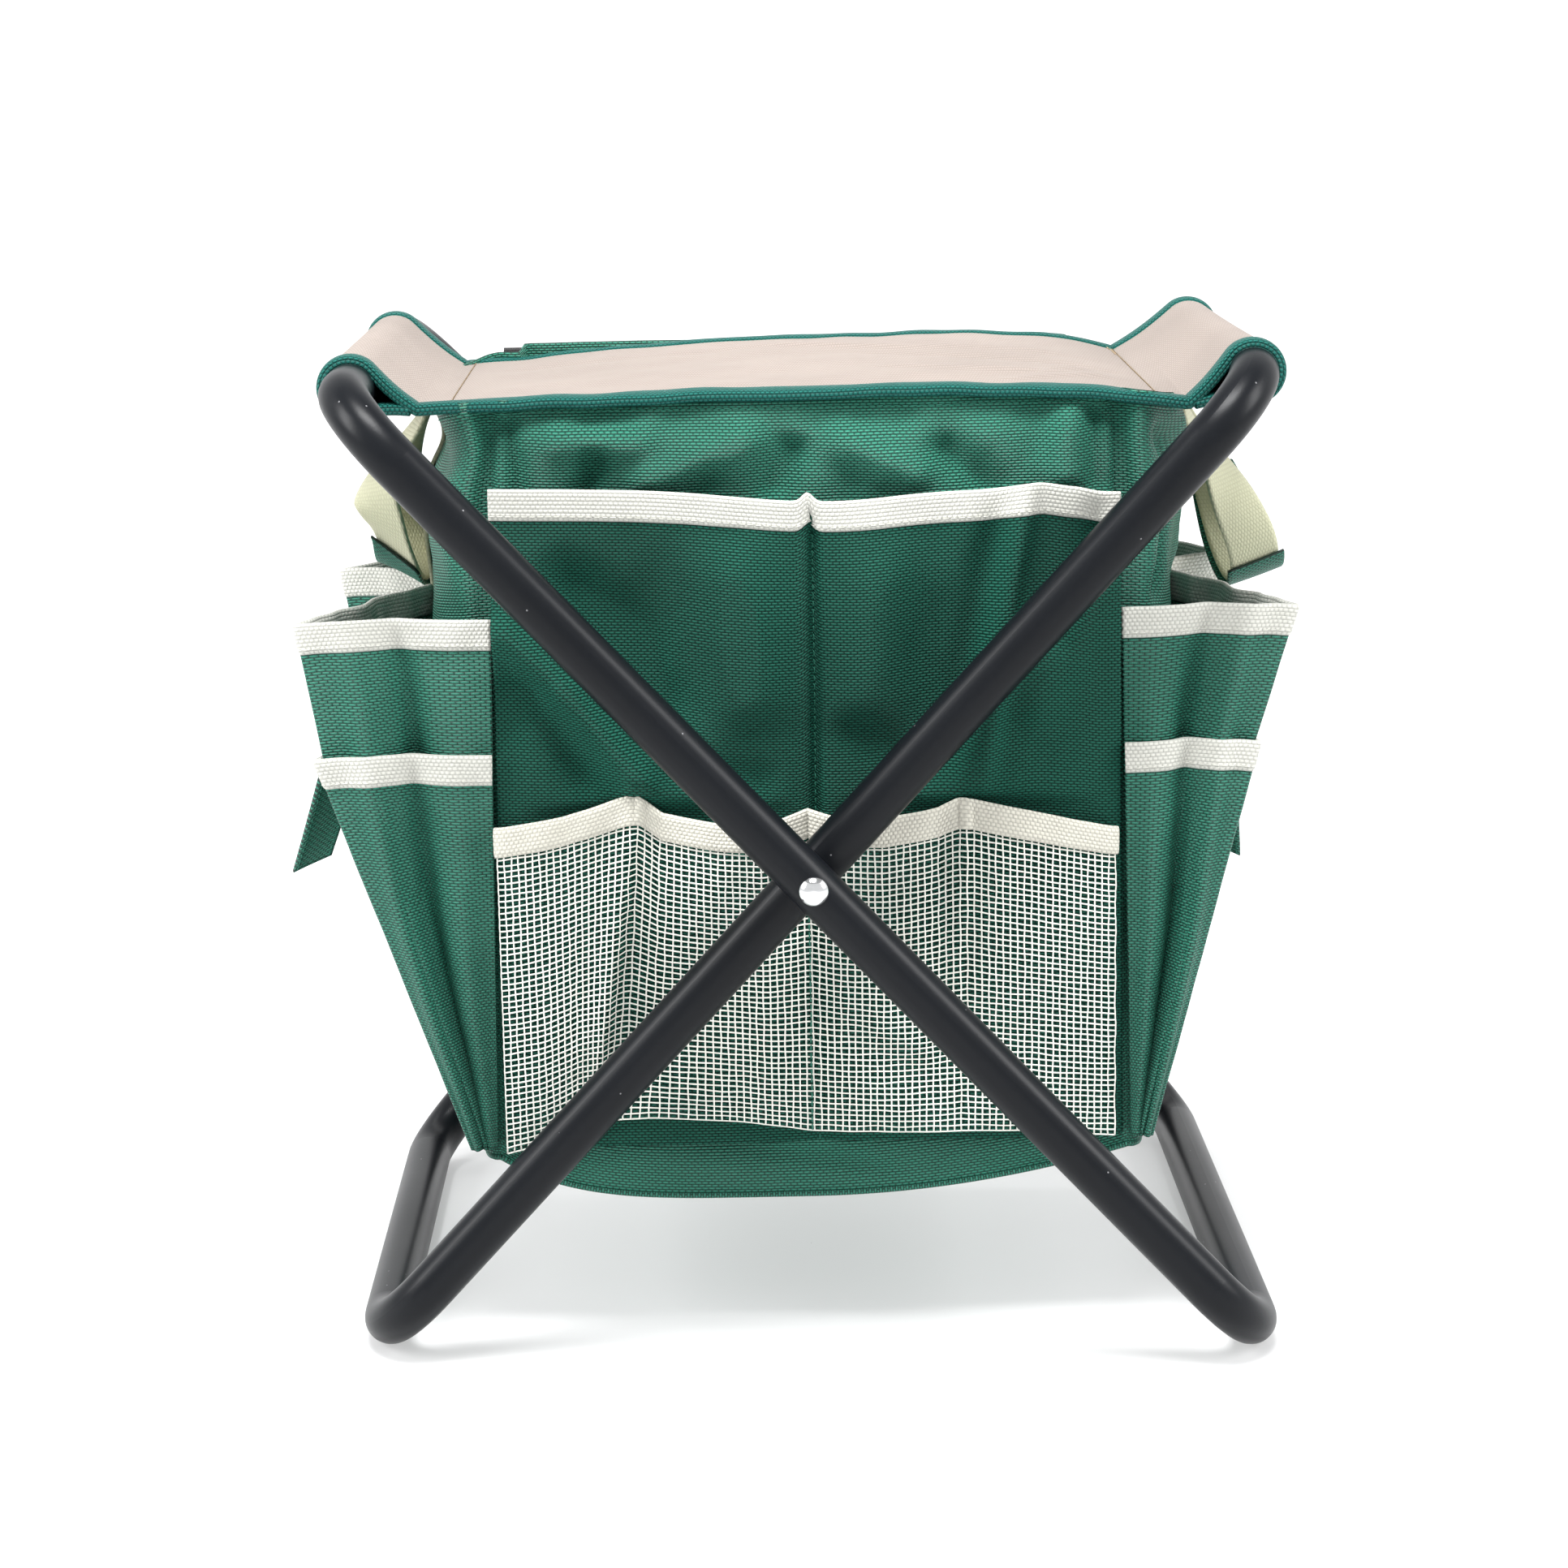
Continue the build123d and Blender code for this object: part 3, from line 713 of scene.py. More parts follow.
def bag_surface(rows=130):
    """Bag shell: at each height the outline is two near-straight walls joined
    by two sides that swell as a flattened half sine; the hem dips over the
    sides and the foot sags as a shallow arc under each wall."""
    wall, flank = 96, 72
    s = np.linspace(-1, 1, wall, endpoint=False)
    w = np.linspace(0, 1, flank, endpoint=False)
    part = np.repeat([0, 1, 2, 3], [wall, flank, wall, flank])
    flank_part = np.isin(part, (1, 3))
    run = np.concatenate([s, w, s, w])
    half_turn = np.maximum(0.0, np.sin(np.pi * run))
    sag = base_sag(np.where(part == 0, run, -run))
    foot = BASE_Z - np.where(flank_part, 0.0, sag)
    crown = HEM_Z + np.where(part == 2, 0.0040, 0.0008)
    hem = crown - flank_part * (crown - SIDE_HEM_Z - 0.003) * half_turn ** 1.6
    t = np.linspace(0, 1, rows)[:, None]
    z = foot + (hem - foot) * t
    level = np.maximum(z, BASE_Z)
    corner = corner_x(level)
    swell = np.where(part == 3, bulge_x(level, 'left'), bulge_x(level))
    deep = -PANEL_Y - 0.0006
    out_x = corner + swell * half_turn ** 0.55 * flank_part
    along = deep * np.cos(np.pi * run)
    which = [part == 0, part == 1, part == 2, part == 3]
    x = np.select(which, [corner * run, out_x, -corner * run, -out_x])
    y = np.broadcast_to(np.select(which, [-deep, -along, deep, along]), z.shape)
    points = np.stack([x, y, z], -1)
    out = normals(points, around=True)
    lateral = np.where(flank_part, y, x)
    pinch = np.where(flank_part, bell(np.minimum(run, 1 - run) / 0.03),
                     bell((1 - np.abs(run)) / 0.02))
    free = ease((z - 0.10) / 0.05)
    push = 0.0022 * slack(lateral, z, 0.9 + 1.7 * part) * free
    push -= (0.0022 + 0.0055 * ease((z - 0.32) / 0.03)) * pinch * free
    upper = ease((z - 0.345) / 0.012) * ease((hem - z) / 0.012) * (part == 0)
    push += 0.0012 * upper * slack(lateral * 1.9, z * 1.7, 2.0)
    push -= 0.0040 * upper * bell((z - 0.386) / 0.006)
    push += upper * creases(lateral, z, UPPER_CREASES)
    low_face = ease((0.098 - z) / 0.01) * (part == 0)
    push += low_face * creases(lateral, z, BELLY_CREASES)
    side = flank_part * ease((z - 0.30) / 0.02)
    push += side * creases(np.where(part == 1, lateral, -lateral), z, SHOULDER_CREASES)
    hem_fold = ease((z - (hem - 0.0055)) / 0.0012)
    points = points + out * (np.clip(push, -0.008, 0.0062) + 0.0004 * hem_fold)[..., None]
    front_reach = 0.0005 + 0.0055 * ease((points[..., 2] - 0.352) / 0.01)
    points[..., 1] = np.clip(points[..., 1], -deep - front_reach, deep + 0.003)
    tuck = ease((z - 0.3835) / 0.009) * (part == 0) * ease((1 - np.abs(run)) / 0.12)
    points[..., 1] += 0.0048 * tuck
    points[..., 1] += 0.0018 * ease((z - 0.38) / 0.01) * (part == 2)
    return points


class STOOL_OT_bag(bpy.types.Operator):
    """Bag shell with its sagging floor, foot seam and hem stitches"""
    bl_idname = "stool.bag"
    bl_label = "Bag shell"

    def execute(self, context):
        points = bag_surface()
        shell = shell_piece("bag_shell", points, CLOTH, finish("bag cloth"))
        hang(shell, "bag_fabric", "bag_front_panel", "bag_rear_panel",
             "bag_left_panel", "bag_right_panel")
        u, v = np.meshgrid(np.linspace(-1, 1, 60), np.linspace(-1, 1, 60))
        rim_x = 0.1305 + 0.007 * (1 - v ** 2)
        base = np.stack([rim_x * u, 0.1085 * v,
                         BASE_Z + 0.0006 - base_sag(u)
                         - 0.002 * (1 - v ** 2) * (1 - u ** 4)
                         + 0.0009 * slack(u * 0.1, v * 0.1) * (1 - v ** 4)], -1)
        floor = sheet_piece("bag_floor", base[::-1], CLOTH, finish("bag cloth"))
        hang(floor, "bag_fabric", "bag_base")
        closed = np.concatenate([points, points[:, :1]], axis=1)
        out = normals(points, around=True)
        out = np.concatenate([out, out[:, :1]], axis=1)
        foot, foot_out = closed[:1], out[:1]
        piping = tube_arrays(foot, frames_along(foot, foot_out), foot_out, 0.0014, 0.0014)
        foot_seam = mesh_object("bag_foot_seam", *piping, finish("bag cloth"))
        hang(foot_seam, "bag_fabric")
        row = np.argmin(np.abs(points[:, 0, 2] - (HEM_Z - 0.0040)))
        sewing = seam("bag_hem_stitches", [(closed[row] + out[row] * 0.0008, out[row])],
                      "green thread", "bag_fabric", HEM_STITCH)
        return {"FINISHED"}


# ---- tall front pockets ----------------------------------------------------
TALL_FOLDS = [
    (0.0062, (0.090, 0.366), (0.070, 0.235), 0.012, 2.6),
    (-0.0060, (0.079, 0.352), (0.056, 0.235), 0.008, 1.2),
    (0.0040, (0.124, 0.325), (0.088, 0.262), 0.009),
    (-0.0040, (0.118, 0.350), (0.102, 0.285), 0.007, 1.5),
    (0.0034, (0.030, 0.330), (0.022, 0.262), 0.015),
    (-0.0030, (0.012, 0.262), (0.052, 0.238), 0.008),
    (0.0075, (-0.127, 0.306), (-0.094, 0.274), 0.007),
    (0.0085, (-0.098, 0.279), (-0.064, 0.236), 0.007, 1.5),
    (-0.0082, (-0.100, 0.330), (-0.052, 0.262), 0.012),
    (-0.0055, (-0.116, 0.282), (-0.086, 0.236), 0.008),
    (0.0060, (-0.030, 0.335), (-0.022, 0.262), 0.015),
    (-0.0034, (-0.060, 0.246), (-0.014, 0.238), 0.008),
]
TALL_DENTS = [
    (-0.0062, (-0.066, 0.300), 0.016, 0.026),
    (0.0034, (-0.024, 0.295), 0.020, 0.035),
    (-0.0058, (0.050, 0.285), 0.014, 0.040),
    (0.0030, (0.022, 0.310), 0.016, 0.040),
    (-0.0050, (-0.121, 0.270), 0.010, 0.022),
]


def tall_pocket_surface(t, lower=0.0):
    """Front pocket pair at heights t from foot to rim: one sheet sewn down at
    its edges, foot and middle, each pocket swelling between, and its rim,
    lower by the given drop, dipping towards the middle seam."""
    s, t = np.meshgrid(np.linspace(-1, 1, 190), t)
    rim = (0.3575 - lower - 0.0052 * bell((s - 0.02) / 0.35)
           + 0.0035 * bell((s + 0.004) / 0.022) - 0.002 * s
           + 0.0025 * bell((s - 0.72) / 0.10) - 0.0018 * ease((s - 0.85) / 0.1))
    z = POCKET_FOOT + (rim - POCKET_FOOT) * t
    x = 0.0015 * (1 - s ** 2) + (0.1282 - 0.0020 * t) * s
    arch = np.maximum(0.0, np.sin(np.pi * np.abs(s) ** 0.9)) ** 0.75
    push = (0.0030 + 0.0030 * np.sin(np.pi * t) ** 2) * arch + 0.0010 + 0.0058 * t ** 1.4
    push += 0.0008 * slack(x * 1.4, z * 1.2, 3.1) * arch
    push += creases(x, z, TALL_FOLDS) + dents(x, z, TALL_DENTS)
    push -= 0.0050 * bell((x - 0.0030) / 0.0022) * ease((0.99 - t) / 0.05)
    push = np.clip(push, 0.0008, 0.0050 + 0.0112 * ease((z - 0.226) / 0.016))
    return np.stack([x, PANEL_Y - push, z], -1)


class STOOL_OT_front_pockets(bpy.types.Operator):
    """Pair of tall front pockets with their rim tape and centre seam"""
    bl_idname = "stool.front_pockets"
    bl_label = "Tall front pockets"

    def execute(self, context):
        cloth = tall_pocket_surface(np.linspace(0, 1, 110), 0.002)
        # Darker pocket cloth: the bag cloth's colour darkened as painted shade.
        pocket = sheet_piece("tall_pockets", cloth, CLOTH, finish("pocket cloth"))
        hang(pocket, "bag_fabric", "front_tall_pocket")
        width = context.scene.stool_textures.tape_width
        band = tall_pocket_surface(np.linspace(1 - width / 0.272, 1.0, 15))
        tape = rim_tape("tall_pocket_tape", band, 0.0026, "pocket tape",
                        "front_tall_pocket_trim")
        grid = tall_pocket_surface(np.linspace(0, 1, 110))
        middle, out = grid[:, 95], normals(grid)[:, 95]
        sewing = seam("tall_pocket_seam", [(middle + out * 0.0008, out)],
                      "green thread", "bag_fabric", SEAM_STITCH)
        out = normals(band)[2]
        tape_sewing = seam("tall_tape_stitches", [(band[2] + out * 0.0013, out)],
                           "ivory thread", "pocket_tape", TAPE_STITCH)
        return {"FINISHED"}


# ---- net pockets -----------------------------------------------------------
# x and height along the rim and the foot of the net pockets
NET_RIM = [(-0.1275, 0.2215), (-0.10, 0.2265), (-0.0735, 0.2345), (-0.0695, 0.2345),
           (-0.060, 0.2265), (-0.038, 0.2225), (-0.019, 0.2210), (-0.010, 0.2240),
           (-0.001, 0.2268), (0.010, 0.2240), (0.030, 0.2232), (0.052, 0.2265),
           (0.0595, 0.2300), (0.063, 0.2305), (0.09, 0.2250), (0.1245, 0.2170)]
NET_FOOT = [(-0.1275, 0.0825), (-0.112, 0.0865), (-0.095, 0.0940), (-0.06, 0.0972),
            (-0.03, 0.0945), (-0.001, 0.0900), (0.03, 0.0888), (0.09, 0.0880),
            (0.1245, 0.0850)]
NET_SEAMS = [NET_LEFT, -0.071, -0.001, 0.061, NET_RIGHT]
NET_FOLDS = [
    (0.00416, (-0.069, 0.234), (-0.082, 0.11), 0.007, 4.0),
    (-0.0024, (-0.058, 0.225), (-0.070, 0.12), 0.008),
    (0.0033, (0.064, 0.230), (0.060, 0.11), 0.006, 4.0),
    (-0.0022, (0.054, 0.222), (0.056, 0.11), 0.006),
    (0.0018, (0.01, 0.16), (0.05, 0.125), 0.009),
    (-0.0018, (0.0, 0.145), (0.052, 0.108), 0.007),
]


def net_surface(x, t):
    """Net pocket row: four pockets between a left edge, a pleat, a centre
    seam, a pleat and a right edge; rims rise to the pleats, each pocket swells
    forward between its borders, and t runs from foot to rim."""
    rim, foot = along_marks(x, NET_RIM), along_marks(x, NET_FOOT)
    z = foot + (rim - foot) * t
    lean = -0.010 * bell((x + 0.071) / 0.02) * (1 - t) ** 1.3
    shape = np.zeros_like(z)
    for left, right in zip(NET_SEAMS, NET_SEAMS[1:]):
        share = np.clip((x - left) / (right - left), 0, 1)
        shape = np.maximum(shape, np.maximum(0.0, np.sin(np.pi * share)) ** 0.6)
    push = 0.0066 + 0.0010 * t + (0.0038 + 0.0018 * t) * shape * ease(t / 0.15 + 0.3)
    push += 0.0010 * slack(x * 1.8, z * 1.3, 5.0) + creases(x, z, NET_FOLDS)
    push = np.clip(push, 0.0062, 0.0155)
    return np.stack([x + lean, PANEL_Y - push, z], -1)


def strands(paths, half, flatness, weave=0.0):
    """Net strands along many paths, each lifted in turn by the weave."""
    out = np.cross(np.gradient(paths, axis=0), np.gradient(paths, axis=1))
    out /= np.linalg.norm(out, axis=-1, keepdims=True)
    out *= np.where(out[..., 1:2] > 0, -1, 1)
    lift = weave * (-1.0) ** np.arange(paths.shape[1])[None, :, None]
    return tube_arrays(paths + out * lift, frames_along(paths, out), out,
                       half, half * flatness)


class STOOL_OT_mesh_pockets(bpy.types.Operator):
    """Row of four net pockets, with every strand, and their rim tape"""
    bl_idname = "stool.mesh_pockets"
    bl_label = "Net pockets"

    def execute(self, context):
        texture = context.scene.stool_textures
        wide = round((NET_RIGHT - NET_LEFT) / texture.net_pitch)
        tall = round(0.138 / texture.net_row)
        half = texture.net_strand / 2
        x = np.linspace(NET_LEFT, NET_RIGHT, wide + 1)
        sway = 0.0002 * np.sin(np.arange(wide + 1) * 2.4)[:, None]
        xs, ts = np.meshgrid(x, np.linspace(0.0, 0.975, tall + 1), indexing="ij")
        upright = strands(net_surface(xs + sway * np.sin(ts * 40), ts), half, 0.55, 0.00012)
        sway = 0.0015 * np.sin(np.arange(tall + 1) * 1.9)[:, None]
        ts, xs = np.meshgrid(np.linspace(0.0, 0.955, tall + 1), x, indexing="ij")
        level = strands(net_surface(xs, ts + sway * np.sin(xs * 300)), half, 0.6)
        net = mesh_object("mesh_pockets", *join_arrays([upright, level]), finish("net"))
        hang(net, "pocket_mesh", "front_mesh_pocket")
        x, t = np.meshgrid(np.linspace(NET_LEFT - 0.0006, NET_RIGHT + 0.0006, 230),
                           np.linspace(1 - texture.tape_width / 0.1385, 1.0, 15))
        tape = rim_tape("mesh_pocket_tape", net_surface(x, t), 0.0028, "mesh tape",
                        "front_mesh_pocket_trim")
        x, t = np.meshgrid([-0.0025, -0.001, 0.0005], np.linspace(0.0, 0.9, 60))
        line = net_surface(x, t)
        out = normals(line)[:, 1]
        sewing = seam("mesh_pocket_seam", [(line[:, 1] + out * 0.0009, out)],
                      "green thread", "bag_fabric", NET_STITCH)
        x, t = np.meshgrid(np.linspace(NET_LEFT, NET_RIGHT, 120), np.linspace(0, 1, 60))
        flat = flat_size(net_surface(x, t))
        return {"FINISHED"}


# ---- side pockets ----------------------------------------------------------
# height and half width at the pockets' outer corners, deep (0) and short (1)
FLARE = {
    ("left", 0): [(0.084, 0.138), (0.251, 0.1985), (0.306, 0.2080)],
    ("left", 1): [(0.084, 0.1425), (0.251, 0.2020)],
    ("right", 0): [(0.084, 0.137), (0.251, 0.183), (0.306, 0.2005)],
    ("right", 1): [(0.084, 0.1405), (0.251, 0.1845)],
}


def side_pocket_surface(hand, place, layer, s, t):
    """Bellows pocket wall: at each height two straight runs from the corner
    seam out to a rounded fold and back to the side panel, with one upright
    soft bend in the outer run; everything narrows to the foot."""
    s, t = np.meshgrid(s, t)
    z = POCKET_FOOT + (POCKET_RIMS[layer] - POCKET_FOOT) * t
    grow = np.interp(z, [POCKET_FOOT, POCKET_RIMS[1]], [0.0016, 0.0034]) * layer
    corner = along_marks(z, FLARE[hand, layer])
    panel, middle = corner_x(z), corner_x(z) + bulge_x(z)
    back = np.sin(np.pi * np.clip(2 * s - 1, 0, 1))
    front = place == "front"
    if front:
        a = np.stack([panel + 0.0012, -0.1125 - grow], -1)
        b = np.stack([corner, -0.1135 - grow], -1)
        c = np.stack([middle + 0.0030 + grow, np.full_like(z, -0.0140)], -1)
    else:
        middle = middle + 0.0030 + grow
        out = np.maximum(corner - 0.004, middle + 0.002)
        forward = 0.020 + 0.014 * (out - middle) / 0.045
        a = np.stack([middle, np.full_like(z, 0.0155)], -1)
        b = np.stack([out, forward], -1)
        c = np.stack([panel + 0.0042 + grow, np.full_like(z, 0.105)], -1)
    knee = 2 * soft_ramp(s - 0.5, 0.012)
    first = (2 * s - knee)[..., None]
    plan = a + (b - a) * first + (c - b) * knee[..., None]
    if front:
        lean = 0.02 * np.sin(z * 30)
        deep = np.sin(np.pi * (0.08 + 0.86 * t)) + 0.15
        plan[..., 1] -= 0.0056 * deep * bell((s - 0.375 + lean) / 0.045)
        plan[..., 1] -= 0.0034 * deep * bell((s - 0.12 + lean) / 0.07)
        plan[..., 1] += 0.0078 * deep * bell((s - 0.245 + lean) / 0.038)
        plan[..., 0] += (0.004 * t + 0.001) * back * slack(plan[..., 1] * 2, z, 1.0 + layer)
    else:
        plan[..., 0] += back * np.maximum(0.0, middle + 0.004 - (plan[..., 0] + 0.012 * back))
        plan[..., 0] += 0.010 * back * ease((plan[..., 1] - 0.04) / 0.03)
    plan[..., 1] += 0.0009 * slack(plan[..., 0] * 2, z * 1.4, 2.0 + layer + (hand == "left"))
    if front:
        plan[..., 1] = np.maximum(plan[..., 1], -0.1262)
    dip = 0.0025 * t * (bell((s - 0.27) / 0.2) - bell((s - 0.5) / 0.05) * 0.4)
    side = -1 if hand == "left" else 1
    surface = np.stack([side * plan[..., 0], plan[..., 1], z + dip * 0.5], -1)
    return surface[:, ::-1] if hand == "left" else surface


class STOOL_OT_side_pockets(bpy.types.Operator):
    """Eight bellows pockets on the bag's sides, each with its rim tape"""
    bl_idname = "stool.side_pockets"
    bl_label = "Side pockets"

    def execute(self, context):
        width = context.scene.stool_textures.tape_width
        s = np.concatenate([np.linspace(0, 0.44, 60), np.linspace(0.445, 0.555, 30),
                            np.linspace(0.56, 1, 50)])
        for hand in ("left", "right"):
            for place in ("front", "rear"):
                for layer, word in ((0, "side"), (1, "short")):
                    node = f"{hand}_{place}_{word}_pocket"
                    reach = POCKET_RIMS[layer] - POCKET_FOOT
                    t = np.linspace(0, 1 - 0.002 / reach, 90)
                    cloth = side_pocket_surface(hand, place, layer, s, t)
                    pocket = sheet_piece(f"{node}_cloth", cloth, CLOTH, finish("bag cloth"))
                    hang(pocket, "bag_fabric", node)
                    t = np.linspace(1 - width / reach, 1, 13)
                    band = side_pocket_surface(hand, place, layer, s, t)
                    tape = rim_tape(f"{node}_tape", band, 0.0026, "pocket tape",
                                    f"{node}_trim")
                    out = normals(band)[2]
                    sewing = seam(f"{node}_stitches", [(band[2] + out * 0.0013, out)],
                                  "ivory thread", "pocket_tape", TAPE_STITCH)
        return {"FINISHED"}


# ---- handles and tabs ------------------------------------------------------
def strap_surface(path, across, width, cols=13, curl=0.0):
    """Strap: a path with a width direction at each point, slightly dished by
    curl times the square of the distance from its middle."""
    path, across = np.asarray(path, float), np.asarray(across, float)
    across = across / np.linalg.norm(across, axis=1, keepdims=True)
    w = np.linspace(-0.5, 0.5, cols) * width
    grid = path[:, None] + across[:, None] * w[None, :, None]
    out = normals(grid)
    return grid + out * (curl * (w / width) ** 2)[None, :, None]


def smooth_path(points, count):
    """Smooth curve near a few points: four rounds of corner cutting, then
    even spacing along its length."""
    p = np.asarray(points, float)
    for _ in range(4):
        cut = np.concatenate([p[:-1] * 0.75 + p[1:] * 0.25, p[:-1] * 0.25 + p[1:] * 0.75], 1)
        p = np.concatenate([p[:1], cut.reshape(-1, p.shape[1]), p[-1:]])
    length = np.concatenate([[0], np.cumsum(np.linalg.norm(np.diff(p[:, :3], axis=0), axis=1))])
    even = np.linspace(0, length[-1], count)
    return np.stack([np.interp(even, length, p[:, k]) for k in range(p.shape[1])], 1)


# place of the strap's middle line and the direction of its width
HANDLE = {
    "right": [(0.1625, -0.012, 0.383, 0.05, 1, 0), (0.1675, -0.015, 0.368, 0.3, 1, 0),
              (0.178, -0.019, 0.352, 0.55, 0.85, 0.1), (0.186, -0.020, 0.335, 0.9, 0.4, 0.25),
              (0.194, -0.019, 0.317, 1, 0, 0.38), (0.196, -0.011, 0.305, 1, 0, 0.38),
              (0.195, 0.003, 0.301, 1, 0, 0.32), (0.191, 0.014, 0.310, 1, 0.1, 0.2),
              (0.184, 0.019, 0.335, 0.8, -0.5, 0.1), (0.172, 0.017, 0.365, 0.3, -1, 0),
              (0.1625, 0.013, 0.383, 0.05, -1, 0)],
    "left": [(0.1565, -0.012, 0.383, 0.05, 1, 0), (0.164, -0.016, 0.371, 0.3, 1, 0),
             (0.175, -0.021, 0.359, 0.45, 0.9, -0.1), (0.181, -0.024, 0.347, 0.75, 0.5, -0.3),
             (0.178, -0.024, 0.335, 0.8, 0.2, 0.3), (0.173, -0.019, 0.324, 0.75, 0, 0.65),
             (0.171, -0.010, 0.313, 0.8, -0.2, 0.55), (0.169, 0.002, 0.311, 0.8, 0, 0.3),
             (0.170, 0.012, 0.321, 0.9, -0.2, 0.1), (0.174, 0.018, 0.340, 0.7, -0.7, 0),
             (0.167, 0.016, 0.366, 0.3, -1, 0), (0.1565, 0.013, 0.383, 0.05, -1, 0)],
}


class STOOL_OT_handles(bpy.types.Operator):
    """Hanging webbing handles with their green wraps and anchor strips"""
    bl_idname = "stool.handles"
    bl_label = "Handles"

    def execute(self, context):
        for hand, side in (("left", -1), ("right", 1)):
            mirror = np.array([side, 1, 1])
            run = smooth_path(HANDLE[hand], 120)
            path, across = run[:, :3] * mirror, run[:, 3:] * mirror
            strap = strap_surface(path, across, 0.0215, curl=0.0012)
            webbing = sheet_piece(f"{hand}_handle_strap", strap, 0.0016, finish("webbing"))
            hang(webbing, "webbing", f"{hand}_handle", body=f"{hand}_handle")
            middle = slice(50, 96)
            wide = strap_surface(path[middle], across[middle], 0.0255, curl=0.0012)
            centre = path.mean(axis=0)
            away = np.sign(np.sum(normals(wide) * (wide - centre), -1, keepdims=True))
            wrap = wide + normals(wide) * 0.0022 * np.sign(away.mean())
            cover = sheet_piece(f"{hand}_handle_wrap", wrap, 0.0014, finish("bag cloth"))
            hang(cover, "bag_fabric", f"{hand}_handle_grip", body=f"{hand}_handle")
            z = np.linspace(0.300, 0.3845, 50)
            x = corner_x(z) + bulge_x(z, hand) + 0.0030 + 0.0006 * np.sin(z * 120)
            strip_path = np.stack([x, 0.0006 * np.sin(z * 90), z], 1) * mirror
            strip_across = np.tile([0.0, 1.0 * side, 0.0], (50, 1))
            strip = strap_surface(strip_path, strip_across, 0.024)
            anchor = sheet_piece(f"{hand}_anchor_strip", strip, 0.0016, finish("webbing"))
            hang(anchor, "webbing", f"{hand}_handle_anchor")
        return {"FINISHED"}


class STOOL_OT_tabs(bpy.types.Operator):
    """Tie tabs behind the side pockets and the loop over the rear hem"""
    bl_idname = "stool.tabs"
    bl_label = "Tabs"

    def execute(self, context):
        for hand, side in (("left", -1), ("right", 1)):
            node = f"{hand}_tie_tab"
            flare = FLARE[hand, 1][1][1] - 0.004
            fold_y = 0.020 + 0.014 * (flare - 0.156) / 0.045
            top = np.array([side * (flare + 0.0026), fold_y + 0.006, 0.2485])
            reach = 0.84 if side < 0 else 0.12
            drop = np.linspace(0, 1, 40)
            path = top + np.stack([side * (0.003 * drop ** 0.5 + 0.022 * reach * drop ** 1.4),
                                   0.004 * drop, -0.078 * drop], 1)
            turn = 0.9 - 0.8 * drop
            across = np.stack([-side * np.cos(turn) * 0.9, np.sin(turn), 0.35 * drop], 1)
            grid = strap_surface(path[::-1], across[::-1] * -side, 0.019, curl=0.002)
            tab = sheet_piece(f"{node}_cloth", grid, 0.0022, finish("bag cloth"))
            hang(tab, "bag_fabric", node)
            out = normals(grid)
            lines = [(grid[:, k] + out[:, k] * 0.0012, out[:, k]) for k in (1, 11)]
            sewing = seam(f"{node}_stitches", lines, "green thread", "bag_fabric",
                          TAB_STITCH)
        centre = (low("rear_hem_loop") + high("rear_hem_loop")) / 2 + [-0.0075, 0.0022, 0.0]
        crown = high("rear_hem_loop")[2] + 0.0006
        turn = np.linspace(-0.15 * np.pi, 1.15 * np.pi, 40)
        y = centre[1] + 0.0022 * np.cos(turn)
        z = crown - 0.0024 + 0.0024 * np.sin(turn) - 0.004 * np.maximum(0, -np.sin(turn))
        path = np.stack([np.full(40, centre[0]), y, z], 1)
        across = np.tile([-1.0, 0.0, 0.0], (40, 1))
        loop = sheet_piece("hem_loop", strap_surface(path, across, 0.0095), 0.0014,
                           finish("black elastic"))
        hang(loop, "elastic", "rear_hem_loop")
        return {"FINISHED"}


# ---- frame finish and stage ------------------------------------------------
class STOOL_OT_metalwork(bpy.types.Operator):
    """Powder coat on the tubes, polished rivets, washers and spacers"""
    bl_idname = "stool.metalwork"
    bl_label = "Frame finish"

    def execute(self, context):
        wanted = {"outer_frame": "powder coat", "inner_frame": "powder coat",
                  "outer_rail_splice": "washer", "inner_rail_splice": "washer"}
        for end in ("front", "rear"):
            wanted[f"{end}_pivot_rivet"] = "rivet"
            wanted[f"{end}_rivet_washer"] = "washer"
            wanted[f"{end}_pivot_spacer"] = "black plastic"
        for node, name in wanted.items():
            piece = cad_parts[node]
            piece.data.materials.clear()
            piece.data.materials.append(finish(name))
        return {"FINISHED"}


def area_light(name, place, aim, size, power, colour=(1, 1, 1)):
    """Soft rectangular lamp at a place, facing a point."""
    lamp = bpy.data.lights.new(name, "AREA")
    lamp.shape, lamp.size, lamp.size_y = "RECTANGLE", size[0], size[1]
    lamp.energy, lamp.color = power, colour
    holder = bpy.data.objects.new(name, lamp)
    holder.location = place
    away = np.array(place, float) - np.array(aim, float)
    holder.rotation_euler = Vector(away).to_track_quat("Z", "Y").to_euler()
    bpy.context.scene.collection.objects.link(holder)


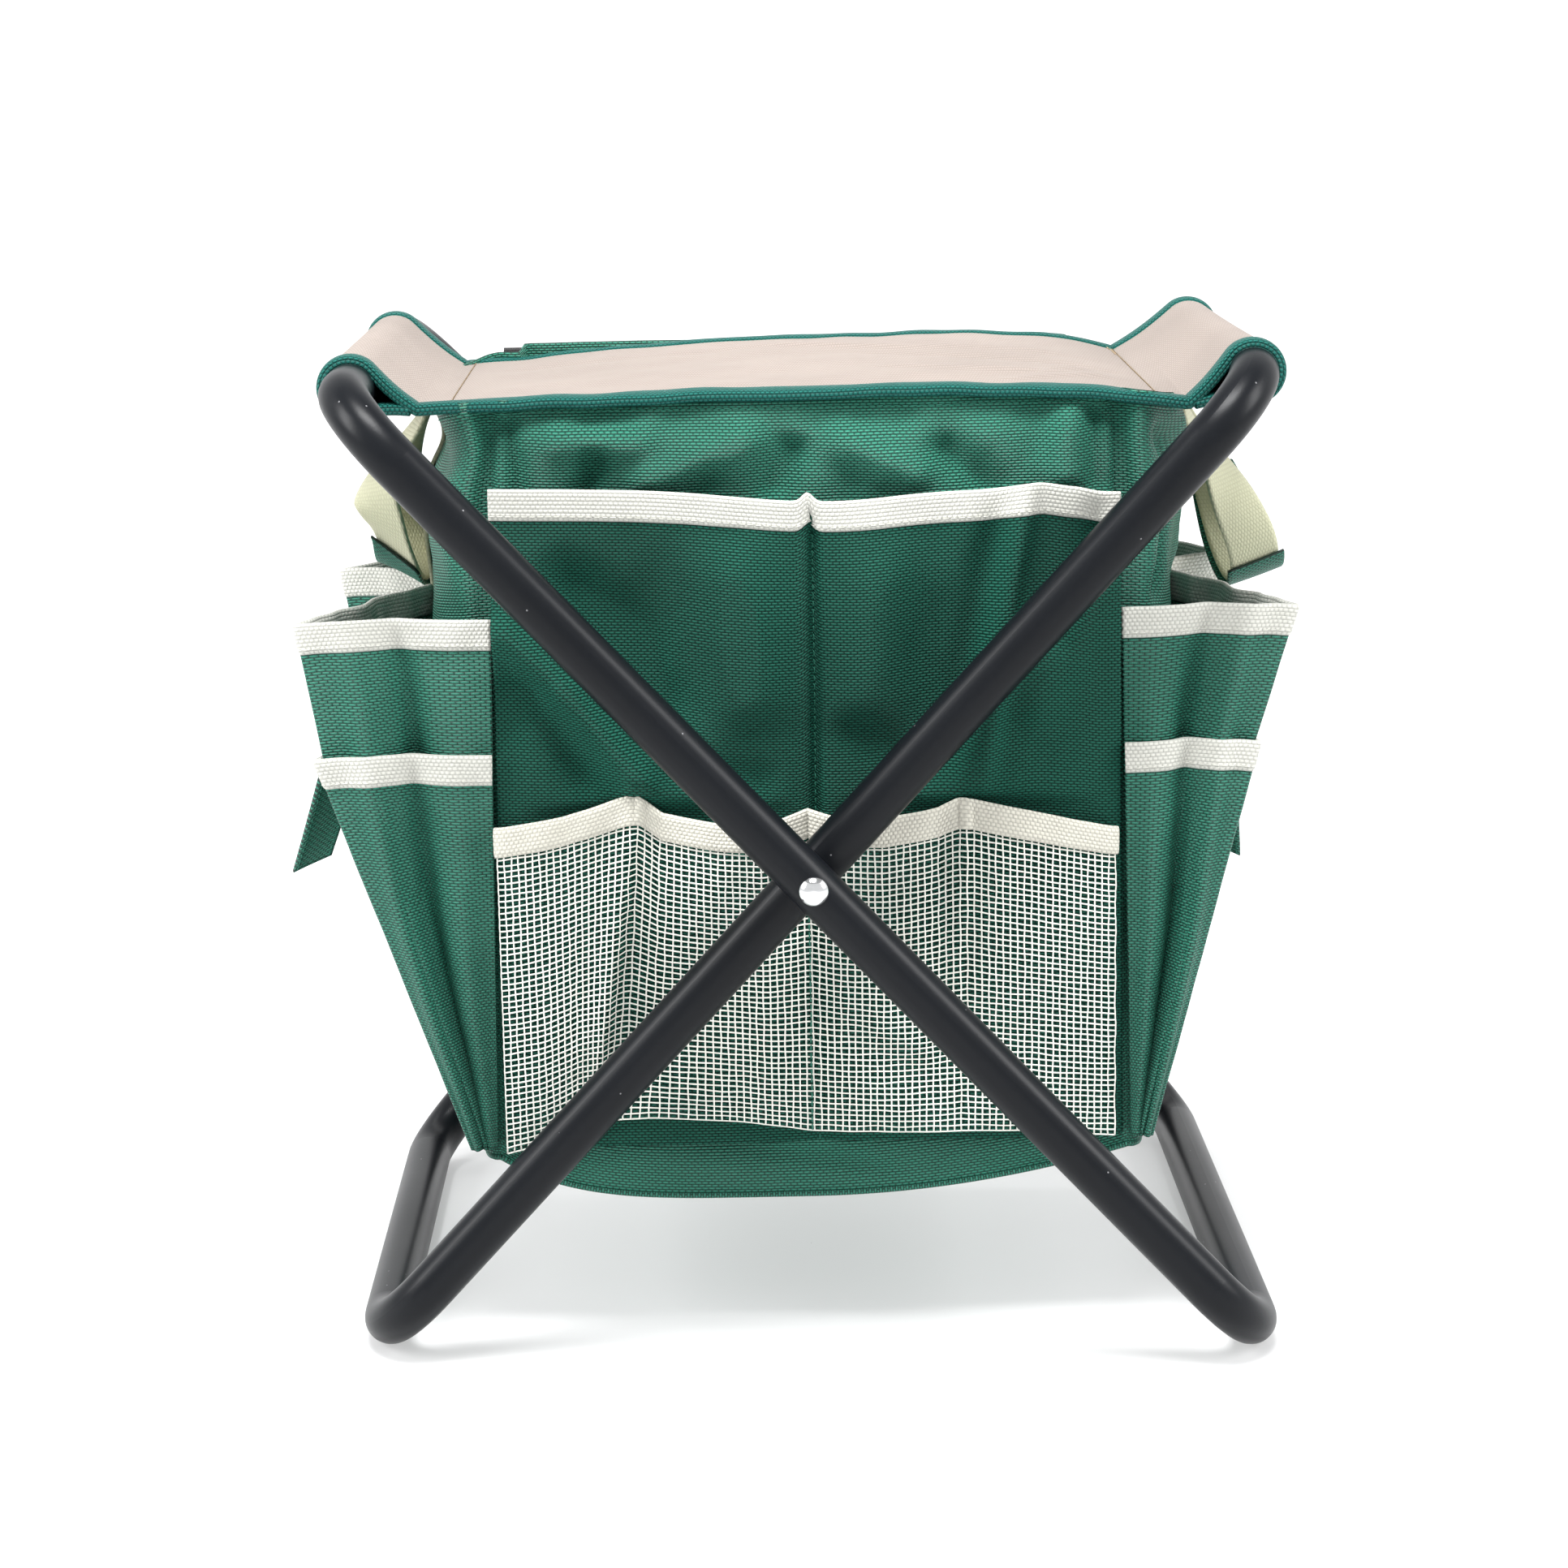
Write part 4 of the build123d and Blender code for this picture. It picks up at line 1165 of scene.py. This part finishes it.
class STOOL_OT_stage(bpy.types.Operator):
    """Pale floor, soft lamps and the camera"""
    bl_idname = "stool.stage"
    bl_label = "Stage"

    def execute(self, context):
        scene = context.scene
        look = Look("stage white", Roughness=0.6, Specular_IOR_Level=0.2,
                    Emission_Color=(1, 1, 1, 1), Emission_Strength=0.38)
        place, _ = look.coordinates(3)
        tint = look.noise(place, 1.2)
        look.set("Base Color", look.mix(tint, (0.50, 0.505, 0.51, 1), (0.53, 0.53, 0.53, 1)))
        arc = np.linspace(0, np.pi / 2, 30)
        reach = np.concatenate([np.linspace(0.0002, 3.0, 20), 3.0 + 2.4 * np.sin(arc[1:]), [5.4]])
        rise = np.concatenate([np.zeros(20), 2.4 * (1 - np.cos(arc[1:])), [6.0]])
        turn, reach = np.meshgrid(np.linspace(0, 2 * np.pi, 97)[::-1], reach)
        points = np.stack([reach * np.cos(turn), reach * np.sin(turn),
                           np.repeat((rise - 0.0002)[:, None], 97, 1)], -1)
        uv = cloth_uv(points)
        floor = mesh_object("floor", *grid_arrays(points, uv), look.material)
        world = bpy.data.worlds.new("studio")
        world.use_nodes = True
        back = world.node_tree.nodes["Background"]
        back.inputs["Color"].default_value = (1.0, 1.0, 1.0, 1.0)
        back.inputs["Strength"].default_value = 0.35
        scene.world = world
        area_light("top lamp", (-0.1, -0.68, 2.2), (0, 0, 0.25), (1.0, 0.7), 66)
        area_light("left lamp", (-2.1, -0.65, 1.3), (0, 0, 0.25), (0.8, 1.3), 46)
        area_light("right lamp", (2.1, -0.65, 1.3), (0, 0, 0.25), (0.8, 1.3), 36)
        area_light("wall lamp", (0, 1.6, 2.6), (0, 4.0, 0.6), (4.0, 1.0), 150)
        scene.view_settings.view_transform = "Standard"
        camera = bpy.data.cameras.new("camera")
        camera.sensor_width, camera.lens = 36.0, 82.76
        camera.clip_end = 50.0
        holder = bpy.data.objects.new("camera", camera)
        yaw, pitch, roll = 0.0133, 0.2119, -0.0177
        ahead = np.array([math.sin(yaw) * math.cos(pitch), math.cos(yaw) * math.cos(pitch),
                          -math.sin(pitch)])
        right = np.array([math.cos(yaw), -math.sin(yaw), 0.0])
        up = np.cross(right, ahead)
        side = math.cos(roll) * right + math.sin(roll) * up
        top = np.cross(side, ahead)
        turn = Matrix(np.column_stack([side, top, -ahead]).tolist()).to_4x4()
        turn.translation = (-0.0293, -1.5471, 0.5447)
        holder.matrix_world = turn
        scene.collection.objects.link(holder)
        scene.camera = holder
        return {"FINISHED"}


# ---- add-on ----------------------------------------------------------------
def colour_setting(name, description, default):
    return FloatVectorProperty(name=name, description=description, default=default,
                               size=4, min=0.0, max=1.0, subtype="COLOR")


def size_setting(name, description, default):
    return FloatProperty(name=name, description=description, default=default,
                         min=0.0001, unit="LENGTH", precision=5)


class StoolColours(bpy.types.PropertyGroup):
    """Colours a maker would change"""
    bag: colour_setting("Bag", "Bag cloth", (0.021, 0.166, 0.112, 1.0))
    # The tall pockets' colour is the bag colour darkened and made a little more saturated, as
    # painted shade.
    pocket: colour_setting("Tall pockets", "Cloth of the tall pockets",
                           (0.0110, 0.092, 0.063, 1.0))
    seat: colour_setting("Seat", "Seat cloth", (0.243, 0.204, 0.180, 1.0))
    seat_tape: colour_setting("Seat tape", "Edge tape of the seat", (0.0150, 0.155, 0.130, 1.0))
    seat_thread: colour_setting("Seat thread", "Thread in the seat", (0.40, 0.30, 0.19, 1.0))
    tape: colour_setting("Pocket tape", "Rim tape of the pockets", (0.635, 0.635, 0.58, 1.0))
    mesh_tape: colour_setting("Net tape", "Rim tape of the net pockets", (0.71, 0.69, 0.60, 1.0))
    net: colour_setting("Net", "Strands of the net pockets", (0.86, 0.86, 0.79, 1.0))
    webbing: colour_setting("Webbing", "Handle webbing", (0.53, 0.53, 0.37, 1.0))
    tube: colour_setting("Tube", "Powder coat of the frame", (0.005, 0.006, 0.008, 1.0))


class StoolTextures(bpy.types.PropertyGroup):
    """Sizes of weaves, nets and tapes"""
    weave: size_setting("Bag weave", "Length of one dash of the bag cloth", 0.0027)
    weave_row: size_setting("Bag weave rows", "Spacing of the rows of dashes", 0.0012)
    seat_weave: size_setting("Seat weave", "Spacing of the seat cloth's ribs", 0.0012)
    net_pitch: size_setting("Net pitch", "Spacing of the net's upright strands", 0.0029)
    net_row: size_setting("Net row", "Spacing of the net's level strands", 0.0026)
    net_strand: size_setting("Net strand", "Width of one net strand", 0.00068)
    tape_width: size_setting("Tape width", "Width of the pocket rim tape", 0.0125)


class STOOL_PT_panel(bpy.types.Panel):
    """Sidebar list of the stool's pieces and settings"""
    bl_idname = "STOOL_PT_panel"
    bl_label = "Garden stool"
    bl_space_type = "VIEW_3D"
    bl_region_type = "UI"
    bl_category = "Stool"

    def draw(self, context):
        for maker in MAKERS:
            self.layout.operator(maker.bl_idname)
        for group in (context.scene.stool_colours, context.scene.stool_textures):
            for key in group.bl_rna.properties.keys():
                if key not in ("rna_type", "name"):
                    self.layout.prop(group, key)


MAKERS = (STOOL_OT_stage, STOOL_OT_metalwork, STOOL_OT_seat, STOOL_OT_bag,
          STOOL_OT_front_pockets, STOOL_OT_mesh_pockets, STOOL_OT_side_pockets,
          STOOL_OT_handles, STOOL_OT_tabs)
CLASSES = (StoolColours, StoolTextures, STOOL_PT_panel) + MAKERS


def register():
    for cls in CLASSES:
        bpy.utils.register_class(cls)
    bpy.types.Scene.stool_colours = PointerProperty(type=StoolColours)
    bpy.types.Scene.stool_textures = PointerProperty(type=StoolTextures)


def unregister():
    del bpy.types.Scene.stool_colours
    del bpy.types.Scene.stool_textures
    for cls in reversed(CLASSES):
        bpy.utils.unregister_class(cls)


def main():
    """Makes every piece in order."""
    register()
    for maker in MAKERS:
        group, name = maker.bl_idname.split(".")
        getattr(getattr(bpy.ops, group), name)()


if __name__ == "__main__":
    main()
